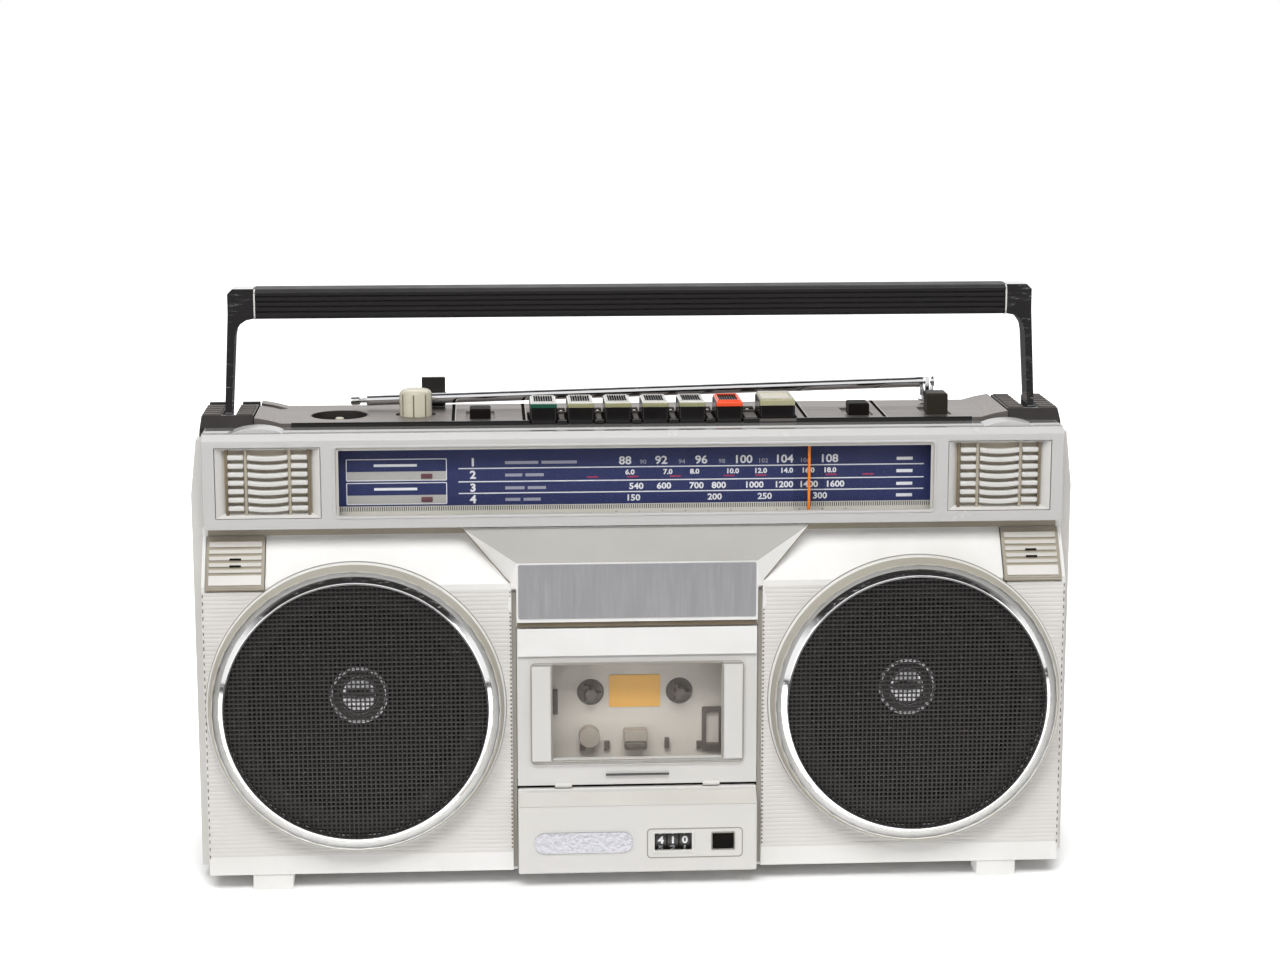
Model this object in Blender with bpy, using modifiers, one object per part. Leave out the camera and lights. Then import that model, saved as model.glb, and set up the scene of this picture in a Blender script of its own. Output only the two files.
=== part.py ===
"""A portable radio cassette recorder with two round speakers, a tape bay and a folding handle.

Metres, +Z up, +Y to the back. The origin is under the middle of the case, level with its feet.
Depths are given behind the flat face of the speaker panels, and back() turns them into world Y.
"""

import math

import bmesh
import bpy
from mathutils import Matrix, Vector

mm = 0.001

# General fits
gap = 0.3 * mm
overrun = 6.0 * mm
wall = 2.6 * mm

# Case
case_width = 414.0 * mm
case_depth = 108.0 * mm
foot_height = 7.6 * mm
foot_width = 18.5 * mm
foot_length = 15.0 * mm
foot_inset = 34.5 * mm
shell_split = 16.0 * mm

# Front panel
panel_margin = 5.0 * mm
panel_thickness = 3.0 * mm
panel_top = 147.0 * mm
shoulder_run = 14.0 * mm
shoulder_rise = 21.0 * mm

# Dial housing
bezel_margin = 6.5 * mm
bezel_bottom = 173.0 * mm
bezel_top = 217.5 * mm
bezel_setback = 4.8 * mm
bezel_edge_rise = 3.0 * mm
bezel_edge_run = 2.2 * mm
bezel_face = 3.2 * mm
ledge_rear = 24.8 * mm
ledge_thickness = 3.5 * mm
boss_half_chord = 12.0 * mm
boss_height = 5.5 * mm
boss_front = 8.0 * mm
boss_rear = 20.0 * mm
dial_half_width = 139.3 * mm
dial_low = 178.6 * mm
dial_high = 211.0 * mm
window_thickness = 1.4 * mm
window_setback = 1.6 * mm
plate_thickness = 1.0 * mm
plate_depth = 13.5 * mm
plate_margin = 5.0 * mm
pointer_x = 81.3 * mm
pointer_width = 14.0 * mm
pointer_thickness = 1.2 * mm
pointer_depth = 10.0 * mm

# Louvred grilles beside the dial
louvre_post = 6.8 * mm
louvre_margin = 5.6 * mm
louvre_low = 177.9 * mm
louvre_high = 211.4 * mm
louvre_depth = 6.0 * mm
louvre_setback = 1.0 * mm
louvre_slot = 2.2 * mm
louvre_rows = 8
louvre_column_shares = ((-0.75, -0.44), (-0.37, 0.41), (0.47, 0.78))

# Microphone grilles on the shoulders
mic_width = 27.2 * mm
mic_margin = 2.0 * mm
mic_proud = 0.8 * mm
mic_sunk = 2.0 * mm
mic_slots = 4
mic_slot_height = 1.4 * mm
mic_slot_depth = 1.2 * mm
mic_slot_inset = 1.6 * mm
mic_first_slot_share = 0.36
mic_slot_step_share = 0.13

# Speakers
speaker_shift = 2.15 * mm
speaker_z = 88.6 * mm
collar_clearance = 3.25 * mm
collar_taper = 2.3 * mm
opening_inset = 16.0 * mm
collar_step = 2.4 * mm
collar_height = 8.2 * mm
collar_shelf = 4.5 * mm
collar_bore_inset = 8.5 * mm
ring_inset = 3.1 * mm
ring_proud = 10.0 * mm
ring_inner_inset = 8.8 * mm
ring_foot = 3.6 * mm
mesh_inset = 4.0 * mm
mesh_thickness = 0.8 * mm
frame_lap = 3.5 * mm
frame_flange_thickness = 2.2 * mm
frame_throat_inset = 3.0 * mm
frame_wall = 2.0 * mm
frame_depth = 31.0 * mm
frame_taper = 19.5 * mm
magnet_radius = 36.0 * mm
magnet_length = 15.0 * mm
cone_wall = 1.0 * mm
cone_roll_width = 7.5 * mm
cone_neck = 11.0 * mm
cone_apex = 24.0 * mm
dome_radius = 14.0 * mm
dome_cap = 8.7 * mm
dome_height = 5.6 * mm
dome_rim = 0.7 * mm

# Hood over the tape door
column_half_width = 56.5 * mm
hood_proud = 1.5 * mm
hood_low = 128.5 * mm
hood_front_top = 156.8 * mm
hood_ridge_half = 81.5 * mm
hood_ridge_depth = 6.5 * mm
groove_width = 2.3 * mm
groove_depth = 1.6 * mm

# Tape door
door_low = 49.0 * mm
door_high = 125.7 * mm
door_bevel_low = 112.5 * mm
door_bevel_run = 1.6 * mm
door_thickness = 3.4 * mm
door_window_half = 40.0 * mm
door_window_low = 61.6 * mm
door_window_high = 108.0 * mm
door_pane = 1.2 * mm
door_pane_lap = 3.0 * mm
door_guide = 2.4 * mm
door_guide_depth = 9.6 * mm
door_guide_low = 62.0 * mm
door_guide_high = 116.0 * mm
door_knuckle = 1.2 * mm
door_knuckle_length = 8.0 * mm
door_knuckle_x = 35.0 * mm

# Tape deck
deck_plate_half = 66.0 * mm
deck_plate_low = 46.5 * mm
deck_plate_high = 129.5 * mm
deck_plate_depth = 20.0 * mm
deck_plate_thickness = 1.6 * mm
deck_post_radius = 3.0 * mm
deck_post_inset = 3.4 * mm
spindle_spacing = 42.5 * mm
spindle_z = 88.9 * mm
spindle_disc = 6.1 * mm
spindle_disc_thickness = 3.0 * mm
spindle_shaft = 2.6 * mm
spindle_reach = 8.0 * mm
spindle_fin = 1.2 * mm
spindle_fins = 3
head_width = 11.0 * mm
head_low = 64.6 * mm
head_height = 6.6 * mm
head_length = 7.0 * mm
roller_x = 22.0 * mm
roller_radius = 5.0 * mm
roller_length = 6.0 * mm
motor_x = 38.0 * mm
motor_z = 106.0 * mm
motor_radius = 16.0 * mm
motor_length = 26.0 * mm

# Counter panel under the tape door
counter_proud = 5.5 * mm
counter_low = 7.1 * mm
counter_top = 47.5 * mm
counter_slope_low = 40.0 * mm
counter_slope_high = 45.8 * mm
counter_slope_depth = -0.5 * mm
counter_wall = 2.1 * mm
counter_hollow_high = 38.5 * mm
counter_x = 16.7 * mm
counter_z = 21.85 * mm
counter_window_half = 8.9 * mm
counter_window_height = 8.7 * mm
wheel_radius = 7.5 * mm
wheel_pitch = 5.7 * mm
wheel_count = 3
reset_x = 40.45 * mm
reset_width = 10.0 * mm
reset_height = 7.6 * mm
reset_length = 8.0 * mm
reset_sunk = 0.4 * mm

# Top deck and rear shell
deck_front = 25.1 * mm
deck_rear = 78.0 * mm
deck_thickness = 2.5 * mm
deck_top = 219.3 * mm
deck_play = 0.6 * mm
deck_ramp_run = 12.7 * mm
deck_ramp_rise = 2.8 * mm
plateau_rear = 80.0 * mm
plateau_side = 18.0 * mm
plateau_border = 5.0 * mm
slope_rear = 94.0 * mm
shelf_height = 203.0 * mm
shelf_rear_height = 200.0 * mm
rear_low_chamfer = 6.0 * mm
side_slant_start = 188.0 * mm
side_slant = 3.8 * mm
cavity_top = 196.5 * mm
mouth_rim = 9.5 * mm
mouth_depth = 4.3 * mm

# Tape keys
key_count = 6
key_first_x = -42.6 * mm
key_pitch = 17.55 * mm
key_width = 12.7 * mm
key_front = 26.0 * mm
key_length = 23.0 * mm
key_top = 227.4 * mm
key_low = 206.0 * mm
key_edge = 0.8 * mm
wide_key_x = 68.1 * mm
wide_key_width = 16.9 * mm
wide_key_front = 27.6 * mm
wide_key_length = 24.0 * mm
wide_key_top = 228.0 * mm

# Knobs and slide switches
volume_share = 0.5345
volume_y = 49.0 * mm
volume_radius = 7.7 * mm
volume_flange = 8.7 * mm
volume_flange_height = 1.9 * mm
volume_height = 13.4 * mm
volume_dome = 1.6 * mm
volume_flutes = 5
volume_flute_radius = 0.7 * mm
volume_recess = 9.6 * mm
volume_recess_depth = 1.2 * mm
shaft_radius = 3.0 * mm
shaft_low = 204.0 * mm
tuning_share = 0.2224
tuning_y = 49.0 * mm
tuning_recess = 13.75 * mm
tuning_cup_wall = 1.5 * mm
tuning_cup_low = 209.0 * mm
tuning_shaft_top = 217.0 * mm
pulley_radius = 6.0 * mm
pulley_height = 4.0 * mm
slider_front = 33.6 * mm
slider_width = 9.9 * mm
slider_length = 11.6 * mm
slider_edge = 0.6 * mm
slider_stem_width = 3.0 * mm
slider_stem_length = 5.0 * mm
slider_stem_depth = 8.0 * mm
slider_recess_width = 13.5 * mm
slider_recess_length = 22.8 * mm
slider_recess_depth = 1.0 * mm
slider_names = ("band_slider", "tape_radio_slider", "mode_slider")
slider_sides = (-1, 1, 1)
slider_shares = (0.799, 0.353, 0.779)
slider_height = (5.4 * mm, 6.4 * mm, 10.8 * mm)
slider_travel = 10.0 * mm

# Handle and its brackets
bracket_width = 28.7 * mm
bracket_rise = 3.3 * mm
bracket_floor = 1.3 * mm
bracket_slope_run = 4.9 * mm
bracket_slope_rise = 5.1 * mm
bracket_rear = 72.0 * mm
bracket_slot_front = 32.5 * mm
bracket_slot_play = 0.4 * mm
handle_depth = 40.0 * mm
pivot_sink = 5.8 * mm
handle_rise = 68.0 * mm
grip_end_inset = 30.0 * mm
grip_height = 14.0 * mm
grip_width = 18.0 * mm
grip_edge = 3.0 * mm
grip_edge_steps = 3
arm_thickness = 3.0 * mm
arm_width = 12.0 * mm
arm_top_inset = 17.6 * mm
arm_foot_inset = 14.7 * mm
arm_cap_radius = 9.0 * mm
arm_corner = 2.4 * mm
arm_boss_radius = 6.5 * mm
arm_boss_proud = 0.3 * mm
pivot_pin_radius = 2.0 * mm
pivot_pin_reach = 3.0 * mm
arm_play = 1.0 * mm
arm_sweep = 2.6 * mm

# Antenna
antenna_share = 0.779
antenna_y = 66.0 * mm
antenna_z = 230.0 * mm
antenna_drop = 6.6 * mm
antenna_reach = 280.0 * mm
antenna_post_radius = 4.2 * mm
antenna_collar_height = 3.4 * mm
antenna_ear = 1.7 * mm
antenna_ear_top = 3.6 * mm
antenna_eye = 1.5 * mm
antenna_pin = 1.1 * mm
antenna_stem_radius = 2.8 * mm
tube_start = 7.0 * mm
tube_tail = 17.0 * mm
tube_radii = (2.75 * mm, 2.0 * mm, 1.2 * mm)
tube_bores = (2.35 * mm, 1.55 * mm)
tube_nest = 6.0 * mm
tip_radius = 2.4 * mm
tip_length = 5.0 * mm
channel_play = 1.2 * mm
clip_share = 0.605
clip_width = 11.4 * mm
clip_top = 234.0 * mm
clip_back = 2.9 * mm
clip_lip = 1.0 * mm
clip_lip_reach = 4.6 * mm

# Battery bay, mains inlet and inner parts
bay_side = 84.0 * mm
bay_low = 14.5 * mm
bay_high = 81.5 * mm
bay_depth = 36.0 * mm
bay_wall = 2.0 * mm
battery_door_lap = 3.7 * mm
battery_door_thickness = 1.9 * mm
inlet_inset = 46.0 * mm
inlet_z = 38.0 * mm
inlet_width = 22.0 * mm
inlet_height = 16.0 * mm
inlet_depth = 14.0 * mm
inlet_wall = 2.0 * mm
board_side = 57.0 * mm
board_z = 172.0 * mm
board_front = 44.0 * mm
board_thickness = 1.6 * mm
board_rail_inset = 8.0 * mm
board_rail_width = 4.0 * mm
board_rail_height = 4.0 * mm
board_rail_front = 60.0 * mm
transformer_x = -10.0 * mm
transformer_width = 50.0 * mm
transformer_height = 40.0 * mm
transformer_length = 36.0 * mm

# Round steps
fine_steps = 40
round_steps = 24
small_steps = 16

# Places that follow from the sizes above
case_half = case_width / 2
face_y = (ring_proud - case_depth) / 2
foot_x = case_half - foot_inset
panel_half = case_half - panel_margin
bezel_half = case_half - bezel_margin
speaker_x = (panel_half + column_half_width) / 2 + speaker_shift
collar_radius = (panel_half - column_half_width) / 2 - collar_clearance
collar_neck = collar_radius - collar_taper
collar_bore = collar_radius - collar_bore_inset
opening_radius = collar_radius - opening_inset
ring_radius = collar_radius - ring_inset
ring_inner = collar_radius - ring_inner_inset
mesh_radius = ring_radius - mesh_inset
frame_flange = opening_radius + frame_lap
frame_throat = opening_radius - frame_throat_inset
frame_neck = frame_throat - frame_taper
cone_roll = frame_throat - cone_roll_width
mic_outer = panel_half - mic_margin
mic_inner = mic_outer - mic_width
louvre_inner = dial_half_width + louvre_post
louvre_outer = bezel_half - louvre_margin
louvre_x = (louvre_inner + louvre_outer) / 2
louvre_half_width = (louvre_outer - louvre_inner) / 2
bracket_inner = case_half - bracket_width
bracket_top = deck_top + bracket_rise
bracket_front_height = bracket_top - bracket_slope_rise
deck_half_width = bracket_inner - deck_play
deck_ramp_start = deck_half_width - deck_ramp_run
plateau_open_half = bracket_inner - plateau_side
pivot_height = deck_top - pivot_sink
bracket_slot_low = pivot_height - arm_boss_radius - bracket_slot_play
bracket_low = bracket_slot_low - bracket_floor
handle_top = pivot_height + handle_rise
grip_half_length = case_half - grip_end_inset
arm_top_x = case_half - arm_top_inset
arm_foot_x = case_half - arm_foot_inset
tube_end = antenna_reach - tube_tail
key_zone_left = key_first_x - key_width / 2
key_zone_right = wide_key_x + wide_key_width / 2
tuning_x = key_zone_left * tuning_share - deck_ramp_start * (1 - tuning_share)
volume_x = key_zone_left * volume_share - deck_ramp_start * (1 - volume_share)
clip_x = key_zone_left * clip_share - deck_ramp_start * (1 - clip_share)
antenna_x = deck_ramp_start * antenna_share + key_zone_right * (1 - antenna_share)
slider_x = [
    deck_ramp_start * share + key_zone_right * (1 - share) if side > 0
    else key_zone_left * share - deck_ramp_start * (1 - share)
    for side, share in zip(slider_sides, slider_shares)
]
bay_half = case_half - bay_side
inlet_x = case_half - inlet_inset
board_half = case_half - board_side
board_rail_x = board_half - board_rail_inset
axis_names = ("X", "Y", "Z")


def back(depth):
    """World Y of a depth behind the speaker panels' face."""
    return face_y + depth


def clear_scene():
    for obj in list(bpy.data.objects):
        bpy.data.objects.remove(obj)


def new_collection(name):
    collection = bpy.data.collections.new(name)
    bpy.context.scene.collection.children.link(collection)
    return collection


def make_material(name, hex_colour, roughness, metallic=0.0, alpha=1.0):
    """A plain Principled material from an sRGB hex colour."""
    mat = bpy.data.materials.new(name)
    mat.use_nodes = True
    shader = mat.node_tree.nodes["Principled BSDF"]
    channels = [int(hex_colour[i:i + 2], 16) / 255 for i in (0, 2, 4)]
    linear = [c / 12.92 if c <= 0.04045 else ((c + 0.055) / 1.055) ** 2.4 for c in channels]
    shader.inputs["Base Color"].default_value = (*linear, 1.0)
    shader.inputs["Roughness"].default_value = roughness
    shader.inputs["Metallic"].default_value = metallic
    shader.inputs["Alpha"].default_value = alpha
    mat.diffuse_color = (*linear, alpha)
    return mat


def register(name, mesh, mat=None, location=(0, 0, 0), rotation=None):
    """Put a mesh in the model's collection, or in the cutters' one when it has no material."""
    obj = bpy.data.objects.new(name, mesh)
    obj.location = location
    if rotation:
        obj.matrix_world = Matrix.Translation(location) @ rotation
    if mat:
        mesh.materials.append(mat)
        parts.objects.link(obj)
    else:
        obj.hide_render = True
        obj.display_type = "WIRE"
        tools.objects.link(obj)
    return obj


def bm_object(name, bm, mat, location=(0, 0, 0), rotation=None):
    mesh = bpy.data.meshes.new(name)
    bm.to_mesh(mesh)
    bm.free()
    return register(name, mesh, mat, location, rotation)


def box(name, low, high, mat=None, edge=0, edge_steps=1):
    """A block between two corners, with its edges rounded where edge is given."""
    size = [high[i] - low[i] for i in range(3)]
    centre = [(high[i] + low[i]) / 2 for i in range(3)]
    bm = bmesh.new()
    bmesh.ops.create_cube(bm, size=1, matrix=Matrix.Diagonal((*size, 1)))
    obj = bm_object(name, bm, mat, centre)
    if edge:
        bevel = obj.modifiers.new("edge", "BEVEL")
        bevel.width = edge
        bevel.segments = edge_steps
    return obj


def turn_to(axis):
    """The rotation that brings local Z to the named world axis."""
    turns = {"X": Matrix.Rotation(math.pi / 2, 4, "Y"), "Z": Matrix.Identity(4)}
    turns["Y"] = Matrix.Rotation(-math.pi / 2, 4, "X")
    return turns[axis]


def rod(name, radius, axis, start, end, across, mat=None, steps=round_steps, end_radius=None):
    """A round bar or cone along a world axis; across gives its place on the other two axes."""
    bm = bmesh.new()
    last = radius if end_radius is None else end_radius
    bmesh.ops.create_cone(bm, cap_ends=True, segments=steps, radius1=radius, radius2=last, depth=end - start)
    place = list(across)
    place.insert(axis_names.index(axis), (start + end) / 2)
    obj = bm_object(name, bm, mat, place, turn_to(axis))
    smooth(obj)
    return obj


def smooth(obj):
    obj.data.shade_smooth()
    obj.data.set_sharp_from_angle(angle=math.radians(35))


def signed_area(points):
    pairs = zip(points, points[1:] + points[:1])
    return sum(a[0] * b[1] - b[0] * a[1] for a, b in pairs) / 2


def turned(name, profile, axis, centre, mat=None, steps=round_steps):
    """A turned piece from (radius, height along the axis) points; one that meets the axis is solid."""
    points = list(profile)
    if signed_area(points) > 0:
        points.reverse()
    solid = sum(1 for p in points if p[0] == 0) == 2
    if solid:
        while not (points[0][0] == 0 and points[-1][0] == 0):
            points.append(points.pop(0))
    bm = bmesh.new()
    verts = [bm.verts.new((radius, 0, height)) for radius, height in points]
    for first, second in zip(verts, verts[1:]):
        bm.edges.new((first, second))
    if not solid:
        bm.edges.new((verts[-1], verts[0]))
    obj = bm_object(name, bm, mat, centre, turn_to(axis))
    screw = obj.modifiers.new("turn", "SCREW")
    screw.steps = steps
    screw.render_steps = steps
    screw.use_merge_vertices = True
    screw.merge_threshold = 0.00001
    screw.use_smooth_shade = True
    return obj


def outline(name, points, axis, low, high, mat=None):
    """A flat outline drawn across one axis and drawn out along it."""
    curve = bpy.data.curves.new(name, "CURVE")
    curve.dimensions = "2D"
    curve.fill_mode = "BOTH"
    curve.extrude = (high - low) / 2
    curve.render_resolution_u = 0
    spline = curve.splines.new("POLY")
    spline.points.add(len(points) - 1)
    for point, (u, v) in zip(spline.points, points):
        point.co = (u, v, 0, 1)
    spline.use_cyclic_u = True
    drawn = bpy.data.objects.new(name + "_curve", curve)
    bpy.context.scene.collection.objects.link(drawn)
    bpy.context.view_layer.update()
    mesh = bpy.data.meshes.new_from_object(drawn.evaluated_get(bpy.context.evaluated_depsgraph_get()))
    bpy.data.objects.remove(drawn)
    bm = bmesh.new()
    bm.from_mesh(mesh)
    bmesh.ops.remove_doubles(bm, verts=bm.verts, dist=0.000001)
    bm.to_mesh(mesh)
    bm.free()
    mesh.name = name
    mesh.materials.clear()
    middle = (low + high) / 2
    frames = {
        "X": Matrix(((0, 0, 1, middle), (1, 0, 0, 0), (0, 1, 0, 0), (0, 0, 0, 1))),
        "Y": Matrix(((1, 0, 0, 0), (0, 0, -1, middle), (0, 1, 0, 0), (0, 0, 0, 1))),
        "Z": Matrix.Translation((0, 0, middle)),
    }
    mesh.transform(frames[axis])
    return register(name, mesh, mat)


def hull(name, points, mat=None):
    """The closed flat-sided body that wraps a set of corners."""
    bm = bmesh.new()
    for point in points:
        bm.verts.new(point)
    wrapped = bmesh.ops.convex_hull(bm, input=bm.verts)
    spare = [v for v in wrapped["geom_interior"] if isinstance(v, bmesh.types.BMVert)]
    bmesh.ops.delete(bm, geom=spare, context="VERTS")
    bmesh.ops.recalc_face_normals(bm, faces=bm.faces)
    return bm_object(name, bm, mat)


def combine(target, others, operation):
    for other in others:
        step = target.modifiers.new(operation.lower(), "BOOLEAN")
        step.operation = operation
        step.object = other
        step.solver = "EXACT"
    return target


def cut(target, *cutters):
    return combine(target, cutters, "DIFFERENCE")


def join(target, *additions):
    return combine(target, additions, "UNION")


def pivot(name, place, *children):
    """An empty on a joint's axis that carries the pieces which move with it."""
    empty = bpy.data.objects.new(name, None)
    empty.location = place
    parts.objects.link(empty)
    for child in children:
        child.parent = empty
        child.matrix_parent_inverse = Matrix.Translation(place).inverted()
    return empty


def along_shoulder(share, out=0):
    """Depth and height of a point up the sloping shoulder, moved out from its surface."""
    length = math.hypot(shoulder_run, shoulder_rise)
    depth = shoulder_run * share - out * shoulder_rise / length
    height = panel_top + shoulder_rise * share + out * shoulder_run / length
    return back(depth), height


def shoulder_strip(sunk, proud, low_share, high_share):
    """An outline that lies along the shoulder from below its surface to above it."""
    return [
        along_shoulder(low_share, -sunk),
        along_shoulder(high_share, -sunk),
        along_shoulder(high_share, proud),
        along_shoulder(low_share, proud),
    ]


def side_name(side):
    return "left" if side < 0 else "right"


def make_front_cabinet():
    half = panel_half
    top = bezel_bottom - gap
    shoulder_top = panel_top + shoulder_rise
    body = outline("front_cabinet", [
        (back(0), foot_height),
        (back(0), panel_top),
        (back(shoulder_run), shoulder_top),
        (back(shoulder_run), top),
        (back(shell_split), top),
        (back(shell_split), foot_height),
    ], "X", -half, half, silver)
    slope = shoulder_rise / shoulder_run
    inner_low = foot_height + wall
    inner_top = panel_top + slope * panel_thickness - panel_thickness * math.hypot(1, slope)
    inner_end = shell_split + overrun
    hollow = outline("front_hollow", [
        (back(panel_thickness), inner_low),
        (back(panel_thickness), inner_top),
        (back(inner_end), inner_top + slope * (inner_end - panel_thickness)),
        (back(inner_end), inner_low),
    ], "X", wall - half, half - wall)
    cut(body, hollow)
    join(body, make_hood())
    for side in (-1, 1):
        spot = (side * speaker_x, face_y, speaker_z)
        join(body, turned("collar_" + side_name(side), [
            (collar_radius, groove_depth),
            (collar_radius, -collar_step),
            (collar_neck, -collar_step),
            (collar_neck, -collar_height),
            (ring_radius + gap, -collar_height),
            (ring_radius + gap, -collar_shelf),
            (collar_bore, -collar_shelf),
            (collar_bore, groove_depth),
        ], "Y", spot, None, fine_steps))
        cut(body, rod("speaker_hole_" + side_name(side), opening_radius, "Y", back(-overrun),
                      back(panel_thickness + overrun), (spot[0], spot[2]), None, fine_steps))
    reach = column_half_width + gap
    cut(body, box("front_opening", (-reach, back(-overrun), 0),
                  (reach, back(panel_thickness + gap), door_high + gap + gap)))
    for side in (-1, 1):
        edges = sorted((side * column_half_width, side * (column_half_width + groove_width)))
        cut(body, box("groove_" + side_name(side), (edges[0], back(-overrun), 0),
                      (edges[1], back(groove_depth), panel_top - groove_width)))
        mic_edges = sorted((side * (mic_inner - gap), side * (mic_outer + gap)))
        cut(body, outline("mic_seat_" + side_name(side),
                          shoulder_strip(mic_sunk + gap, overrun, -mic_slot_inset / shoulder_rise, 1),
                          "X", *mic_edges))
        for height in (deck_plate_low + deck_post_inset, deck_plate_high - deck_post_inset):
            post_x = side * (deck_plate_half - deck_post_inset)
            join(body, rod(f"deck_post_{side_name(side)}_{height:.3f}", deck_post_radius, "Y",
                           back(panel_thickness / 2), back(deck_plate_depth - gap), (post_x, height),
                           None, small_steps))
        join(body, make_foot("front_foot_" + side_name(side), side, wall / 4))
    return body


def make_foot(name, side, depth):
    half = foot_width / 2
    return box(name, (side * foot_x - half, back(depth), 0),
               (side * foot_x + half, back(depth + foot_length), foot_height + wall / 2))


def make_hood():
    """The raised brow over the tape door, widest under the dial housing."""
    corners = []
    top = bezel_bottom - gap - gap
    for side in (-1, 1):
        corners += [
            (side * column_half_width, back(-hood_proud), hood_low),
            (side * column_half_width, back(-hood_proud), hood_front_top),
            (side * hood_ridge_half, back(hood_ridge_depth), top),
            (side * hood_ridge_half, back(shoulder_run + wall / 2), top),
            (side * (column_half_width + groove_width), back(wall / 2), panel_top),
            (side * column_half_width, back(panel_thickness), hood_low),
        ]
    return hull("hood", corners)


def make_bezel():
    half = bezel_half
    rear = shell_split - gap
    under = bezel_top - ledge_thickness
    body = outline("dial_bezel", [
        (back(bezel_setback), bezel_bottom),
        (back(bezel_setback), bezel_top - bezel_edge_rise),
        (back(bezel_setback + bezel_edge_run), bezel_top),
        (back(ledge_rear), bezel_top),
        (back(ledge_rear), under),
        (back(rear), under),
        (back(rear), bezel_bottom),
    ], "X", -half, half, silver)
    cut(body, box("bezel_hollow", (wall - half, back(bezel_setback + bezel_face), bezel_bottom + wall),
                  (half - wall, back(rear + overrun), under - wall / 2)))
    cut(body, box("dial_opening", (-dial_half_width, back(0), dial_low),
                  (dial_half_width, back(bezel_setback + bezel_face + wall), dial_high)))
    boss_radius = (boss_half_chord ** 2 + boss_height ** 2) / (2 * boss_height)
    for side in (-1, 1):
        centre = side * louvre_x
        cut(body, box("louvre_opening_" + side_name(side),
                      (centre - louvre_half_width, back(0), louvre_low),
                      (centre + louvre_half_width, back(bezel_setback + bezel_face + wall), louvre_high)))
        boss_x = side * (bracket_inner - bezel_face)
        dome = rod("boss_" + side_name(side), boss_radius, "Y", back(boss_front), back(boss_rear),
                   (boss_x, bezel_top + boss_height - boss_radius), None, fine_steps)
        cut(dome, box("boss_trim_" + side_name(side), (boss_x - boss_radius * 2, back(0), 0),
                      (boss_x + boss_radius * 2, back(deck_rear), under + wall / 2)))
        join(body, dome)
    return body


def make_dial():
    half = dial_half_width - gap
    window_y = bezel_setback + window_setback
    window = box("dial_window", (-half, back(window_y), dial_low + gap),
                 (half, back(window_y + window_thickness), dial_high - gap), clear)
    low = bezel_bottom + wall + gap
    high = bezel_top - ledge_thickness - wall / 2 - gap
    plate = box("dial_plate", (-half - plate_margin, back(plate_depth), low),
                (half + plate_margin, back(plate_depth + plate_thickness), high), navy)
    pointer = box("dial_pointer", (pointer_x - pointer_width / 2, back(pointer_depth), low),
                  (pointer_x + pointer_width / 2, back(pointer_depth + pointer_thickness), high), orange)
    pivot("dial_pointer_slide", (pointer_x, back(pointer_depth), low), pointer)
    return window, plate, pointer


def make_louvre(side):
    """A grille of bowed slats in three columns, in its opening beside the dial."""
    centre = side * louvre_x
    front = bezel_setback + louvre_setback
    body = box("tweeter_grille_" + side_name(side),
               (centre - louvre_half_width + gap, back(front), louvre_low + gap),
               (centre + louvre_half_width - gap, back(front + louvre_depth), louvre_high - gap), silver)
    pitch = (louvre_high - louvre_low) / louvre_rows
    for row in range(1, louvre_rows):
        z = louvre_low + row * pitch
        for column, (start, end) in enumerate(louvre_column_shares):
            cut(body, box(f"louvre_slot_{side_name(side)}_{row}_{column}",
                          (centre + start * louvre_half_width, back(0), z - louvre_slot / 2),
                          (centre + end * louvre_half_width, back(front + louvre_depth + wall),
                           z + louvre_slot / 2)))
    return body


def make_mic(side):
    """A louvred cover over a microphone, let into the sloping shoulder."""
    edges = sorted((side * mic_inner, side * mic_outer))
    low_share = (gap - mic_slot_inset) / shoulder_rise
    body = outline("mic_grille_" + side_name(side),
                   shoulder_strip(mic_sunk, mic_proud, low_share, 1 - gap / shoulder_rise), "X", *edges, silver)
    height_share = mic_slot_height / math.hypot(shoulder_run, shoulder_rise)
    for slot in range(mic_slots):
        start = mic_first_slot_share + slot * mic_slot_step_share
        cut(body, outline(f"mic_slot_{side_name(side)}_{slot}",
                          shoulder_strip(mic_slot_depth - mic_proud, overrun, start, start + height_share),
                          "X", edges[0] + mic_slot_inset, edges[1] - mic_slot_inset))
    return body


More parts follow.
